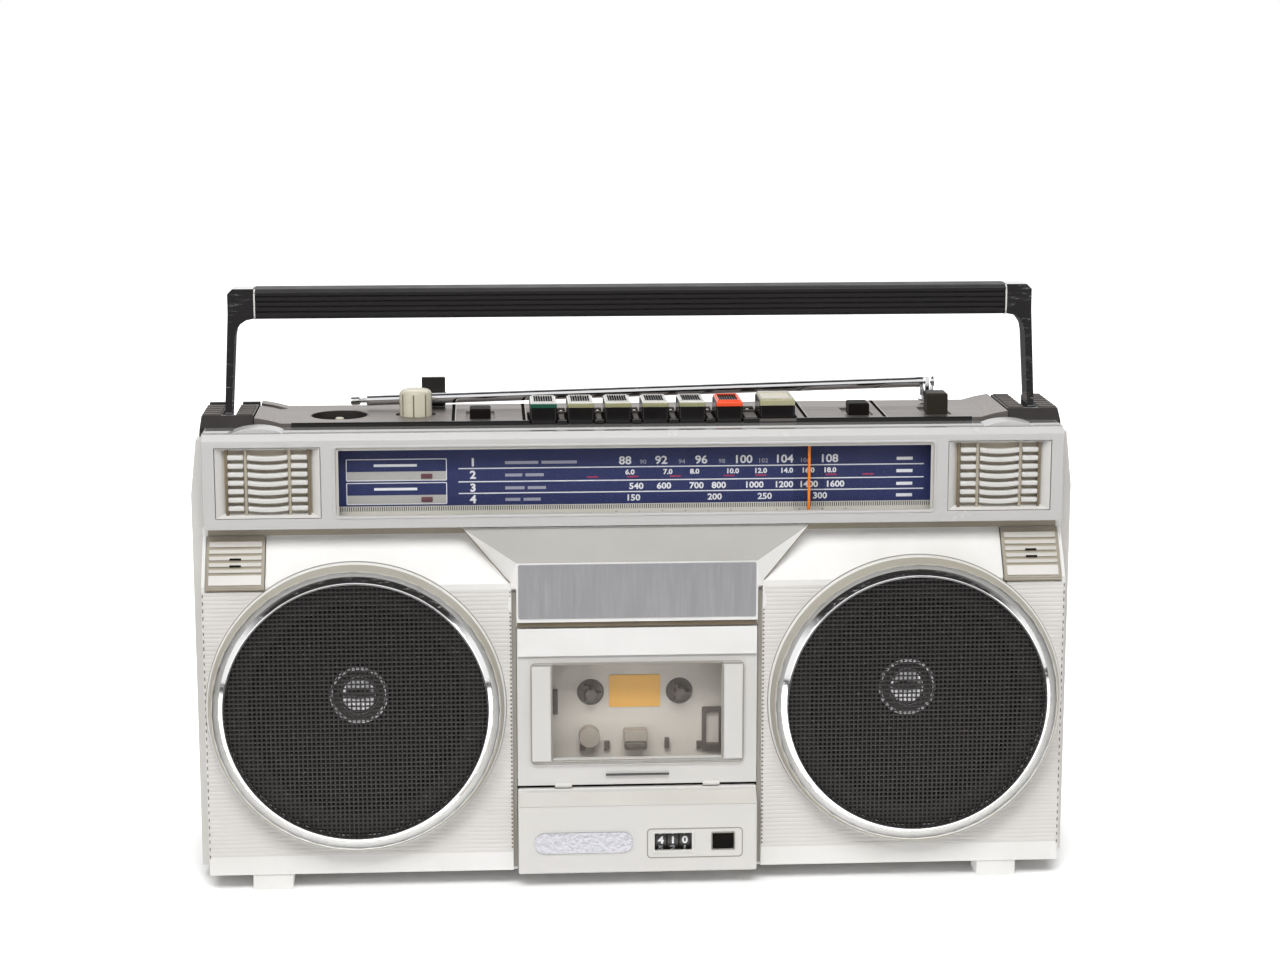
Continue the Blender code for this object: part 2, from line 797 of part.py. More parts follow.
def make_speaker(side):
    """Chrome ring, mesh, driver frame with its magnet, paper cone and centre dome."""
    name = side_name(side)
    spot = (side * speaker_x, face_y, speaker_z)
    foot = -collar_shelf - gap
    lip = foot - mesh_thickness - gap
    turned("speaker_ring_" + name, [
        (ring_radius, foot),
        (ring_radius, wall / 2 - ring_proud),
        (ring_radius - wall / 2, -ring_proud + gap),
        (ring_radius - wall, -ring_proud),
        (ring_inner + gap * 3, wall / 2 - ring_proud),
        (ring_inner, lip),
        (ring_radius - ring_foot, lip),
        (ring_radius - ring_foot, foot),
    ], "Y", spot, chrome, fine_steps)
    rod("speaker_grille_" + name, mesh_radius, "Y", back(foot - mesh_thickness), back(foot),
        (spot[0], spot[2]), black, fine_steps)
    flange_y = panel_thickness + gap
    deep = flange_y + frame_depth
    turned("woofer_frame_" + name, [
        (frame_flange, flange_y),
        (frame_flange, flange_y + frame_flange_thickness),
        (frame_throat + frame_wall, flange_y + frame_flange_thickness),
        (frame_neck + frame_wall, deep - wall),
        (magnet_radius, deep - wall),
        (magnet_radius, deep + magnet_length),
        (0, deep + magnet_length),
        (0, deep),
        (frame_neck, deep),
        (frame_throat, flange_y),
    ], "Y", spot, steel, round_steps)
    rim = frame_throat - cone_wall
    turned("woofer_cone_" + name, [
        (rim, flange_y),
        (cone_roll, flange_y),
        (dome_radius, cone_apex),
        (cone_neck, cone_apex),
        (cone_neck, deep - gap),
        (cone_neck + cone_wall, deep - gap),
        (cone_neck + cone_wall, cone_apex + cone_wall),
        (dome_radius + cone_wall / 2, cone_apex + cone_wall),
        (cone_roll + cone_wall / 2, flange_y + cone_wall),
        (rim - cone_wall / 2, flange_y + cone_wall),
    ], "Y", spot, black, round_steps)
    base = cone_apex - gap
    dome_top = base - dome_height
    turned("woofer_dome_" + name, [
        (0, dome_top),
        (dome_cap / 2, dome_top + dome_rim),
        (dome_cap, base - dome_rim * 3),
        (dome_radius - gap * 3, base - dome_rim),
        (dome_radius - gap * 3, base),
        (0, base),
    ], "Y", spot, chrome, round_steps)


def make_tape_door():
    half = column_half_width
    body = outline("cassette_door", [
        (back(0), door_low),
        (back(0), door_bevel_low),
        (back(door_bevel_run), door_high),
        (back(door_thickness), door_high),
        (back(door_thickness), door_low),
    ], "X", -half, half, white)
    cut(body, box("door_window_opening", (-door_window_half, back(-overrun), door_window_low),
                  (door_window_half, back(door_thickness + overrun), door_window_high)))
    for side in (-1, 1):
        edges = sorted((side * (half - wall / 2), side * (half - wall / 2 - door_guide)))
        join(body, box("door_guide_" + side_name(side),
                       (edges[0], back(door_thickness / 2), door_guide_low),
                       (edges[1], back(door_thickness + door_guide_depth), door_guide_high)))
        join(body, rod("door_knuckle_" + side_name(side), door_knuckle, "X",
                       side * door_knuckle_x - door_knuckle_length / 2,
                       side * door_knuckle_x + door_knuckle_length / 2,
                       (back(0), door_low), None, small_steps))
    pane_y = door_thickness + gap
    pane = box("door_window", (-door_window_half - door_pane_lap, back(pane_y), door_window_low - door_pane_lap),
               (door_window_half + door_pane_lap, back(pane_y + door_pane), door_window_high + door_pane_lap),
               clear)
    pivot("cassette_door_hinge", (0, back(0), door_low), body, pane)
    return body, pane


def make_tape_deck():
    plate = box("deck_plate", (-deck_plate_half, back(deck_plate_depth), deck_plate_low),
                (deck_plate_half, back(deck_plate_depth + deck_plate_thickness), deck_plate_high), beige)
    seat = deck_plate_depth - gap
    for side, name in ((-1, "supply_spindle"), (1, "take_up_spindle")):
        x = side * spindle_spacing / 2
        cut(plate, rod(name + "_hole", spindle_disc + gap, "Y", back(seat - overrun),
                       back(seat + overrun), (x, spindle_z)))
        hub = turned(name, [
            (0, -spindle_reach),
            (spindle_shaft, -spindle_reach + spindle_fin),
            (spindle_shaft, gap),
            (spindle_disc, gap),
            (spindle_disc, spindle_disc_thickness),
            (0, spindle_disc_thickness),
        ], "Y", (x, back(deck_plate_depth), spindle_z), black, small_steps)
        for fin in range(spindle_fins):
            join(hub, make_fin(name, fin, x))
        pivot(name + "_axis", (x, back(deck_plate_depth), spindle_z), hub)
    box("tape_head", (-head_width / 2, back(seat - head_length), head_low),
        (head_width / 2, back(seat), head_low + head_height), steel)
    roller_z = head_low + head_height / 2
    roller = rod("pinch_roller", roller_radius, "Y", back(seat - roller_length), back(seat),
                 (-roller_x, roller_z), black, round_steps)
    pivot("pinch_roller_axis", (-roller_x, back(seat), roller_z), roller)
    motor_y = deck_plate_depth + deck_plate_thickness + gap
    rod("tape_motor", motor_radius, "Y", back(motor_y), back(motor_y + motor_length),
        (motor_x, motor_z), steel, round_steps)


def make_fin(name, fin, x):
    """One of the three drive wings on a spindle's shaft."""
    turn = 2 * math.pi * fin / spindle_fins
    reach = spindle_disc - spindle_fin
    bm = bmesh.new()
    size = (reach, spindle_reach - spindle_fin * 2, spindle_fin)
    bmesh.ops.create_cube(bm, size=1, matrix=Matrix.Diagonal((*size, 1)))
    bmesh.ops.translate(bm, verts=bm.verts, vec=(reach / 2, 0, 0))
    middle = deck_plate_depth - (spindle_reach - spindle_fin * 2) / 2 + gap * 2
    return bm_object(f"{name}_fin_{fin}", bm, None, (x, back(middle), spindle_z), Matrix.Rotation(turn, 4, "Y"))


def make_counter():
    """The panel under the tape door, its three number wheels and the reset button."""
    half = column_half_width
    seat = panel_thickness - gap / 3
    body = outline("counter_panel", [
        (back(seat), counter_low),
        (back(-counter_proud), counter_low),
        (back(-counter_proud), counter_slope_low),
        (back(counter_slope_depth), counter_slope_high),
        (back(counter_slope_depth), counter_top),
        (back(seat), counter_top),
    ], "X", -half, half, white)
    inner = counter_wall - counter_proud
    cut(body, box("counter_hollow", (counter_wall - half, back(inner), counter_low + counter_wall),
                  (half - counter_wall, back(seat + overrun), counter_hollow_high)))
    cut(body, box("counter_window", (counter_x - counter_window_half, back(-counter_proud - overrun),
                                     counter_z - counter_window_height / 2),
                  (counter_x + counter_window_half, back(0), counter_z + counter_window_height / 2)))
    reset_low = (reset_x - reset_width / 2, back(reset_sunk - counter_proud), counter_z - reset_height / 2)
    reset_high = (reset_x + reset_width / 2, reset_low[1] + reset_length, counter_z + reset_height / 2)
    cut(body, box("reset_hole", (reset_low[0] - gap, back(-counter_proud - overrun), reset_low[2] - gap),
                  (reset_high[0] + gap, back(0), reset_high[2] + gap)))
    button = box("reset_button", reset_low, reset_high, black)
    pivot("reset_button_slide", (reset_x, reset_low[1], counter_z), button)
    wheel_y = inner + gap + wheel_radius
    names = ("counter_hundreds", "counter_tens", "counter_units")
    for index, name in enumerate(names):
        x = counter_x + (index - (wheel_count - 1) / 2) * wheel_pitch
        wheel = rod(name, wheel_radius, "X", x - (wheel_pitch - gap) / 2, x + (wheel_pitch - gap) / 2,
                    (back(wheel_y), counter_z), black, round_steps)
        pivot(name + "_axis", (x, back(wheel_y), counter_z), wheel)
    return body


def make_rear_cabinet():
    half = case_half
    plateau = deck_top - deck_thickness - gap
    front_top = bezel_top - ledge_thickness - gap
    body = outline("rear_cabinet", [
        (back(shell_split + gap), foot_height),
        (back(shell_split + gap), front_top),
        (back(deck_front), front_top),
        (back(deck_front), plateau),
        (back(plateau_rear), plateau),
        (back(slope_rear), shelf_height),
        (back(case_depth), shelf_rear_height),
        (back(case_depth), foot_height + rear_low_chamfer),
        (back(case_depth - rear_low_chamfer), foot_height),
    ], "X", -half, half, silver)
    upper_half = bracket_inner - wall
    cut(body, box("main_cavity", (wall - half, back(shell_split + mouth_depth), foot_height + wall),
                  (half - wall, back(case_depth - wall), cavity_top)))
    cut(body, box("upper_cavity", (-upper_half, back(shell_split + mouth_depth), cavity_top - overrun),
                  (upper_half, back(deck_rear), plateau - wall)))
    cut(body, box("front_mouth", (mouth_rim - half, back(0), foot_height + wall),
                  (half - mouth_rim, back(shell_split + mouth_depth + overrun), front_top - wall)))
    cut(body, box("deck_opening", (-plateau_open_half, back(shell_split + mouth_depth), front_top - wall / 2),
                  (plateau_open_half, back(deck_rear - plateau_border), plateau + overrun)))
    for side in (-1, 1):
        name = side_name(side)
        slant = [(side * half, side_slant_start), (side * (half + overrun), side_slant_start),
                 (side * (half + overrun), plateau + overrun), (side * (half - side_slant), plateau + overrun)]
        cut(body, outline("side_slant_" + name, slant, "Y", back(0), back(case_depth + overrun)))
        notch = sorted((side * (bracket_inner - gap), side * (half + overrun)))
        cut(body, box("bracket_notch_" + name, (notch[0], back(deck_front), bracket_low - gap),
                      (notch[1], back(bracket_rear + gap), plateau + overrun)))
        groove = sorted((side * (arm_top_x - arm_thickness - arm_sweep), side * (arm_foot_x + arm_sweep)))
        cut(body, box("arm_groove_" + name, (groove[0], back(bracket_rear - overrun), bracket_slot_low - gap),
                      (groove[1], back(case_depth + overrun), plateau + overrun)))
        join(body, make_foot("rear_foot_" + name, side, case_depth - foot_length - rear_low_chamfer))
        rail = side * board_rail_x
        join(body, box("board_rail_" + name,
                       (rail - board_rail_width / 2, back(board_rail_front), board_z - gap - board_rail_height),
                       (rail + board_rail_width / 2, back(case_depth - wall / 2), board_z - gap)))
    cut(body, box("bay_opening", (-bay_half, back(case_depth - wall - overrun), bay_low),
                  (bay_half, back(case_depth + overrun), bay_high)))
    lap = battery_door_lap + gap
    cut(body, box("bay_rebate", (-bay_half - lap, back(case_depth - battery_door_thickness - gap / 3), bay_low - lap),
                  (bay_half + lap, back(case_depth + overrun), bay_high + lap)))
    cut(join(body, inlet_block("inlet_pocket", inlet_wall, wall / 2)),
        inlet_block("inlet_opening", 0, -overrun))
    return body


def inlet_block(name, margin, end):
    half_width = inlet_width / 2 + margin
    half_height = inlet_height / 2 + margin
    return box(name, (inlet_x - half_width, back(case_depth - inlet_depth - margin), inlet_z - half_height),
               (inlet_x + half_width, back(case_depth - end), inlet_z + half_height))


def make_battery_bay():
    margin = bay_wall
    rear = case_depth - wall - gap
    tray = box("battery_tray", (-bay_half - margin, back(rear - bay_depth), bay_low - margin),
               (bay_half + margin, back(rear), bay_high + margin), black)
    cut(tray, box("tray_hollow", (-bay_half, back(rear - bay_depth + margin), bay_low),
                  (bay_half, back(rear + overrun), bay_high)))
    lap = battery_door_lap
    door = box("battery_door", (-bay_half - lap, back(case_depth - battery_door_thickness), bay_low - lap),
               (bay_half + lap, back(case_depth), bay_high + lap), silver)
    pivot("battery_door_hinge", (0, back(case_depth), bay_low - lap), door)
    return tray, door


def make_inner_parts():
    rear = case_depth - wall - gap
    box("circuit_board", (-board_half, back(board_front), board_z),
        (board_half, back(rear), board_z + board_thickness), green)
    floor = bay_high + bay_wall + gap
    box("transformer", (transformer_x - transformer_width / 2, back(rear - transformer_length), floor),
        (transformer_x + transformer_width / 2, back(rear), floor + transformer_height), steel)


def deck_hole(name, low, high):
    return box(name, (low[0] - gap, low[1] - gap, deck_top - deck_thickness - overrun),
               (high[0] + gap, high[1] + gap, deck_top + overrun))


def make_top_deck():
    """The brushed plate on top with its knobs' recesses and the slots for keys and switches."""
    low = deck_top - deck_thickness
    half = deck_half_width
    ramp = deck_top + deck_ramp_rise
    middle = (half + deck_ramp_start) / 2
    body = outline("top_deck", [
        (-half, low), (half, low), (half, ramp), (middle, deck_top + deck_ramp_rise * 0.6),
        (deck_ramp_start, deck_top), (-deck_ramp_start, deck_top),
        (-middle, deck_top + deck_ramp_rise * 0.6), (-half, ramp),
    ], "Y", back(deck_front + gap), back(deck_rear), brushed)
    cut(body, antenna_channel("deck_channel", deck_top))
    cup_radius = tuning_recess + tuning_cup_wall
    join(body, rod("tuning_cup", cup_radius, "Z", tuning_cup_low, deck_top - deck_thickness / 2,
                   (tuning_x, back(tuning_y)), None, fine_steps))
    cut(body, rod("tuning_recess", tuning_recess, "Z", tuning_cup_low + tuning_cup_wall, deck_top + overrun,
                  (tuning_x, back(tuning_y)), None, fine_steps))
    cut(body, rod("volume_recess", volume_recess, "Z", deck_top - volume_recess_depth, deck_top + overrun,
                  (volume_x, back(volume_y))))
    for name, x, y, radius in (("tuning_shaft_hole", tuning_x, tuning_y, shaft_radius),
                               ("volume_shaft_hole", volume_x, volume_y, shaft_radius),
                               ("antenna_stem_hole", antenna_x, antenna_y, antenna_stem_radius)):
        cut(body, rod(name, radius + gap, "Z", tuning_cup_low - overrun, deck_top + overrun,
                      (x, back(y)), None, small_steps))
    return body


def make_keys(deck):
    """Piano keys in notches along the deck's front edge, and the wide key in a slot of its own."""
    for index in range(key_count):
        x = key_first_x + index * key_pitch
        add_key(deck, f"tape_key_{index + 1}", x, key_width, key_front, key_length, key_top, key_front - deck_front)
    add_key(deck, "wide_key", wide_key_x, wide_key_width, wide_key_front, wide_key_length, wide_key_top, 0)


def add_key(deck, name, x, width, front, length, top, notch):
    low = (x - width / 2, back(front), key_low)
    high = (x + width / 2, back(front + length), top)
    key = box(name, low, high, black, key_edge)
    cut(deck, deck_hole(name + "_slot", (low[0], low[1] - notch, 0), high))
    pivot(name + "_slide", (x, back(front + length / 2), top), key)


def make_sliders(deck):
    """Switches that slide front to back, each in a shallow recess with a slot for its stem."""
    floor = deck_top - slider_recess_depth
    middle = back(slider_front + slider_length / 2)
    for name, x, height in zip(slider_names, slider_x, slider_height):
        low = (x - slider_width / 2, back(slider_front), floor + gap)
        high = (x + slider_width / 2, back(slider_front + slider_length), floor + gap + height)
        knob = box(name, low, high, black, slider_edge)
        stem_low = (x - slider_stem_width / 2, middle - slider_stem_length / 2, floor - slider_stem_depth)
        stem_high = (x + slider_stem_width / 2, middle + slider_stem_length / 2, floor + height / 2)
        join(knob, box(name + "_stem", stem_low, stem_high))
        recess_front = back(slider_front) - gap
        cut(deck, box(name + "_recess", (x - slider_recess_width / 2, recess_front, floor),
                      (x + slider_recess_width / 2, recess_front + slider_recess_length, deck_top + overrun)))
        cut(deck, deck_hole(name + "_slot", stem_low, (stem_high[0], stem_high[1] + slider_travel, 0)))
        pivot(name + "_slide", (x, middle, floor), knob)


def antenna_channel(name, floor):
    """A cutter for the channel that the antenna's tip passes along when it's drawn out lying down."""
    half = tip_radius + channel_play
    return box(name, (-case_width, back(antenna_y) - half, floor),
               (-deck_ramp_start, back(antenna_y) + half, deck_top + overrun * 2))


def make_volume_knob():
    base = deck_top - volume_recess_depth + gap
    top = base + volume_height
    knob = turned("volume_knob", [
        (0, top),
        (volume_radius * 0.6, top - volume_dome * 0.35),
        (volume_radius * 0.92, top - volume_dome),
        (volume_radius, top - volume_dome * 1.5),
        (volume_radius, base + volume_flange_height),
        (volume_flange, base + volume_flange_height),
        (volume_flange, base),
        (shaft_radius, base),
        (shaft_radius, shaft_low),
        (0, shaft_low),
    ], "Z", (volume_x, back(volume_y), 0), cream, round_steps)
    for flute in range(volume_flutes):
        turn = 2 * math.pi * (flute + 0.5) / volume_flutes - math.pi / 2
        spot = (volume_x + volume_radius * math.cos(turn), back(volume_y) + volume_radius * math.sin(turn))
        cut(knob, rod(f"volume_flute_{flute}", volume_flute_radius, "Z", base + volume_flange_height,
                      top - volume_dome, spot, None, small_steps))
    pivot("volume_axis", (volume_x, back(volume_y), base), knob)
    return knob


def make_tuning_shaft():
    pulley_top = tuning_cup_low - gap
    shaft = turned("tuning_shaft", [
        (0, tuning_shaft_top),
        (shaft_radius, tuning_shaft_top),
        (shaft_radius, pulley_top),
        (pulley_radius, pulley_top),
        (pulley_radius, pulley_top - pulley_height),
        (0, pulley_top - pulley_height),
    ], "Z", (tuning_x, back(tuning_y), 0), steel, small_steps)
    pivot("tuning_axis", (tuning_x, back(tuning_y), pulley_top), shaft)
    return shaft


def make_bracket(side):
    """The black block that carries one end of the handle, with the slot its arm folds into."""
    half = case_half
    outer_low = half - side_slant
    low = bracket_low
    slope = side_slant / (bracket_top - low)
    body = outline("handle_bracket_" + side_name(side), [
        (back(deck_front + gap), low),
        (back(deck_front + gap), bracket_front_height),
        (back(deck_front + bracket_slope_run), bracket_top),
        (back(bracket_rear), bracket_top),
        (back(bracket_rear), low),
    ], "X", *sorted((side * bracket_inner, side * half)), black)
    slant = [(side * (outer_low + side_slant * 0.3), low), (side * (half + overrun), low - overrun),
             (side * (half + overrun), bracket_top + overrun),
             (side * (outer_low - slope * overrun), bracket_top + overrun)]
    cut(body, outline("bracket_slant_" + side_name(side), slant, "Y", back(0), back(bracket_rear + overrun)))
    slot = sorted((side * (arm_foot_x - arm_thickness - arm_sweep), side * (arm_foot_x + arm_play)))
    cut(body, box("bracket_slot_" + side_name(side), (slot[0], back(bracket_slot_front), bracket_slot_low),
                  (slot[1], back(bracket_rear + overrun), bracket_top + overrun)))
    if side < 0:
        cut(body, antenna_channel("bracket_channel", deck_top - gap * 2))
    pin = sorted((side * (arm_foot_x - arm_thickness - pivot_pin_reach - gap),
                  side * (arm_foot_x + pivot_pin_reach + gap)))
    cut(body, rod("bracket_bore_" + side_name(side), pivot_pin_radius + gap, "X", *pin,
                  (back(handle_depth), pivot_height), None, small_steps))
    return body


def make_arm(side):
    """A chromed end cap that sweeps into the thin arm, with its pivot boss and pins."""
    top = handle_top
    inner_top = handle_top - grip_height
    start = grip_half_length + gap
    outside = [(start, top), (arm_top_x - arm_corner, top), (arm_top_x, top - arm_corner),
               (arm_top_x, inner_top + arm_corner), (arm_foot_x, pivot_height)]
    sweep = []
    for step in range(5):
        turn = math.pi / 2 * step / 4
        centre_x = arm_top_x - arm_thickness - arm_cap_radius
        sweep.append((centre_x + arm_cap_radius * math.cos(turn),
                      inner_top - arm_cap_radius + arm_cap_radius * math.sin(turn)))
    inside = [(arm_foot_x - arm_thickness, pivot_height)] + sweep + [(start, inner_top)]
    points = [(side * x, z) for x, z in outside + inside]
    body = outline("handle_arm_" + side_name(side), points, "Y", back(handle_depth) - arm_width / 2,
                   back(handle_depth) + arm_width / 2, chrome)
    boss = sorted((side * (arm_foot_x - arm_thickness - arm_boss_proud), side * (arm_foot_x + arm_boss_proud)))
    pins = sorted((side * (arm_foot_x - arm_thickness - pivot_pin_reach), side * (arm_foot_x + pivot_pin_reach)))
    spot = (back(handle_depth), pivot_height)
    join(body, rod("arm_boss_" + side_name(side), arm_boss_radius, "X", *boss, spot, None, round_steps),
         rod("arm_pins_" + side_name(side), pivot_pin_radius, "X", *pins, spot, None, small_steps))
    return body


def make_handle():
    half = grip_half_length
    grip = box("handle_grip", (-half, back(handle_depth) - grip_width / 2, handle_top - grip_height),
               (half, back(handle_depth) + grip_width / 2, handle_top), black, grip_edge, grip_edge_steps)
    arms = [make_arm(side) for side in (-1, 1)]
    pivot("handle_hinge", (0, back(handle_depth), pivot_height), grip, *arms)
    return grip, arms


def lay_along_rod(obj):
    """Place a piece that was built along +Z from the knuckle so that it lies along the stored antenna."""
    fall = math.asin(antenna_drop / antenna_reach)
    turn = Matrix.Rotation(-math.pi / 2 - fall, 4, "Y")
    obj.matrix_world = Matrix.Translation((antenna_x, back(antenna_y), antenna_z)) @ turn
    return obj


def make_antenna():
    place = (antenna_x, back(antenna_y), antenna_z)
    ear = antenna_ear + wall / 1.5
    post_top = antenna_z - antenna_ear_top - gap
    base = turned("antenna_base", [
        (0, post_top),
        (antenna_post_radius, post_top),
        (antenna_post_radius, deck_top + gap),
        (antenna_stem_radius, deck_top + gap),
        (antenna_stem_radius, deck_top - antenna_collar_height * 2),
        (0, deck_top - antenna_collar_height * 2),
    ], "Z", (antenna_x, back(antenna_y), 0), chrome, small_steps)
    for side in (-1, 1):
        edges = sorted((side * antenna_ear, side * ear))
        plate = box("antenna_ear_" + side_name(side),
                    (antenna_x - antenna_stem_radius, back(antenna_y) + edges[0], post_top - gap * 2),
                    (antenna_x + antenna_stem_radius, back(antenna_y) + edges[1], antenna_z + antenna_ear_top))
        join(base, plate)
    cut(base, rod("antenna_bore", antenna_pin + gap, "Y", back(antenna_y) - ear - overrun,
                  back(antenna_y) + ear + overrun, (antenna_x, antenna_z), None, small_steps))
    tube = make_tube("antenna_tube", 0, tube_start - wall / 2, tube_end)
    join(tube, rod("antenna_eye", antenna_ear_top - gap, "Y", back(antenna_y) - antenna_eye,
                   back(antenna_y) + antenna_eye, (antenna_x, antenna_z), None, small_steps),
         make_neck(),
         rod("antenna_pin", antenna_pin, "Y", back(antenna_y) - ear, back(antenna_y) + ear,
             (antenna_x, antenna_z), None, small_steps))
    middle = make_tube("antenna_middle", 1, tube_start + tube_nest, tube_end + tip_radius / 4)
    rod_end = antenna_reach - tip_length
    tip = lay_along_rod(turned("antenna_tip", [
        (0, tube_start + tube_nest * 2),
        (tube_radii[2], tube_start + tube_nest * 2),
        (tube_radii[2], rod_end),
        (tip_radius * 0.8, rod_end),
        (tip_radius, rod_end + tip_length * 0.25),
        (tip_radius, antenna_reach - tip_length * 0.25),
        (tip_radius * 0.7, antenna_reach),
        (0, antenna_reach),
    ], "Z", (0, 0, 0), chrome, small_steps))
    pivot("antenna_hinge", place, tube, middle, tip)
    return base


def make_tube(name, index, start, end):
    """One hollow section of the antenna, blind at the knuckle's end."""
    radius = tube_radii[index]
    bore = tube_bores[index]
    floor = start + tube_nest - gap
    return lay_along_rod(turned(name, [
        (0, start), (radius, start), (radius, end), (bore, end), (bore, floor), (0, floor),
    ], "Z", (0, 0, 0), chrome, small_steps))


def make_neck():
    """The flat tongue between the antenna's eye and its outer tube."""
    neck = box("antenna_neck", (-antenna_eye, -antenna_eye, 0), (antenna_eye, antenna_eye, tube_start))
    fall = math.asin(antenna_drop / antenna_reach)
    turn = Matrix.Rotation(-math.pi / 2 - fall, 4, "Y")
    centre = turn @ Vector((0, 0, tube_start / 2))
    neck.matrix_world = Matrix.Translation(Vector((antenna_x, back(antenna_y), antenna_z)) + centre) @ turn
    return neck


def make_clip():
    half = clip_width / 2
    rear = antenna_y + tube_radii[0] + gap
    base = deck_top + gap
    body = box("antenna_clip", (clip_x - half, back(rear), base),
               (clip_x + half, back(rear + clip_back), clip_top), black)
    join(body, box("clip_lip", (clip_x - half, back(rear - clip_lip_reach), base),
                   (clip_x + half, back(rear + clip_back / 2), base + clip_lip)))
    return body


clear_scene()
parts = new_collection("boombox")
tools = new_collection("cutters")
silver = make_material("silver_plastic", "D0CFCE", 0.45)
white = make_material("pale_plastic", "E2E0DF", 0.45)
beige = make_material("beige_plastic", "A9A49E", 0.6)
black = make_material("black_plastic", "2A2827", 0.5)
cream = make_material("cream_plastic", "C4C1B2", 0.45)
brushed = make_material("brushed_plate", "A39C98", 0.35, 0.8)
chrome = make_material("chrome_plate", "D8D8DA", 0.08, 1.0)
steel = make_material("plain_steel", "8C8C8C", 0.4, 1.0)
navy = make_material("printed_scale", "30386A", 0.5)
orange = make_material("pointer_plastic", "FF8A1F", 0.5)
green = make_material("circuit_board", "3F6B3F", 0.5)
clear = make_material("clear_plastic", "E8E8E8", 0.05, 0.0, 0.3)

make_front_cabinet()
make_bezel()
make_dial()
make_rear_cabinet()
make_tape_door()
make_tape_deck()
make_counter()
make_battery_bay()
make_inner_parts()
for side in (-1, 1):
    make_louvre(side)
    make_mic(side)
    make_speaker(side)
    make_bracket(side)
top_deck = make_top_deck()
make_keys(top_deck)
make_sliders(top_deck)
make_volume_knob()
make_tuning_shaft()
make_handle()
make_antenna()
make_clip()
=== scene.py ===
import math

import bmesh
import bpy
from mathutils import Matrix, Vector


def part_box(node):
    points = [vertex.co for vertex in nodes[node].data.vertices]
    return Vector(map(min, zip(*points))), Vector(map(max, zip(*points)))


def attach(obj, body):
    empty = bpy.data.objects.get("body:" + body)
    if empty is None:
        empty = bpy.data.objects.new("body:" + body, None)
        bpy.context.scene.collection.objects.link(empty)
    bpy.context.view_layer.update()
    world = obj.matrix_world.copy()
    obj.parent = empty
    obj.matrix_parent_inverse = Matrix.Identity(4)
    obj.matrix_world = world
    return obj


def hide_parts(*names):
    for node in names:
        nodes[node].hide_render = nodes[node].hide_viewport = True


bl_info = {
    "name": "Portable Cassette Radio",
    "version": (1, 0, 0),
    "blender": (4, 5, 0),
    "location": "3D Viewport > Sidebar > Radio",
    "description": "Dresses the packed cassette radio with finished pieces, materials and a studio",
    "category": "Object",
}

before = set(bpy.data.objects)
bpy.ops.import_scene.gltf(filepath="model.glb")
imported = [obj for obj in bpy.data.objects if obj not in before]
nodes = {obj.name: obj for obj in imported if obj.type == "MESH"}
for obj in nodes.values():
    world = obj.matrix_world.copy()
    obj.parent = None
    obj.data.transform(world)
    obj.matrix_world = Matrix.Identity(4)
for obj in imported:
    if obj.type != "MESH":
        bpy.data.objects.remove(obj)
mm = 0.001
# The counter panel stands 5.5 mm in front of the speaker panels
panel_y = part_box("counter_panel")[0].y + 5.5 * mm
sides = (("left", -1), ("right", 1))


# Sizes and colours that a user would change


def linear(code):
    """Linear colour of an sRGB hex value."""
    parts = [int(code[start:start + 2], 16) / 255 for start in (1, 3, 5)]
    return tuple(p / 12.92 if p <= 0.04045 else ((p + 0.055) / 1.055) ** 2.4 for p in parts)


def length(name, description, millimetres):
    """A length property given in millimetres."""
    return bpy.props.FloatProperty(
        name=name,
        description=description,
        default=millimetres * mm,
        min=0.0,
        precision=5,
        subtype="DISTANCE",
        unit="LENGTH",
    )


def tint(name, description, code):
    """A colour property given as an sRGB hex value."""
    return bpy.props.FloatVectorProperty(
        name=name,
        description=description,
        default=linear(code),
        min=0.0,
        max=1.0,
        size=3,
        subtype="COLOR",
    )


def count(name, description, number):
    """A whole number property."""
    return bpy.props.IntProperty(name=name, description=description, default=number, min=1)


class RadioSizes(bpy.types.PropertyGroup):
    """Sizes of the small repeated shapes."""

    rib_pitch: length("Rib Pitch", "From one moulded rib of the speaker panels to the next", 2.0)
    rib_rise: length("Rib Rise", "How far a rib stands off the speaker panel", 0.22)
    rib_width: length("Rib Width", "Height of one rib", 1.85)
    wire_pitch: length("Wire Pitch", "From one wire of the speaker mesh to the next", 2.1)
    wire_width: length("Wire Width", "Thickness of one wire of the speaker mesh", 0.8)
    slat_pitch: length("Slat Pitch", "From one slat beside the dial to the next", 3.98)
    slat_height: length("Slat Height", "Height of one slat beside the dial", 2.15)
    slat_sag: length("Slat Sag", "How far the middle slats hang at their middle", 0.75)
    slat_rows: count("Slat Rows", "Slats above each other beside the dial", 7)
    tick_pitch: length("Tick Pitch", "From one mark of the logging scale to the next", 1.02)
    screw_radius: length("Screw Radius", "Radius of a case screw's head", 3.2)
    edge_round: length("Edge Rounding", "Rounding of the moulded edges", 0.5)


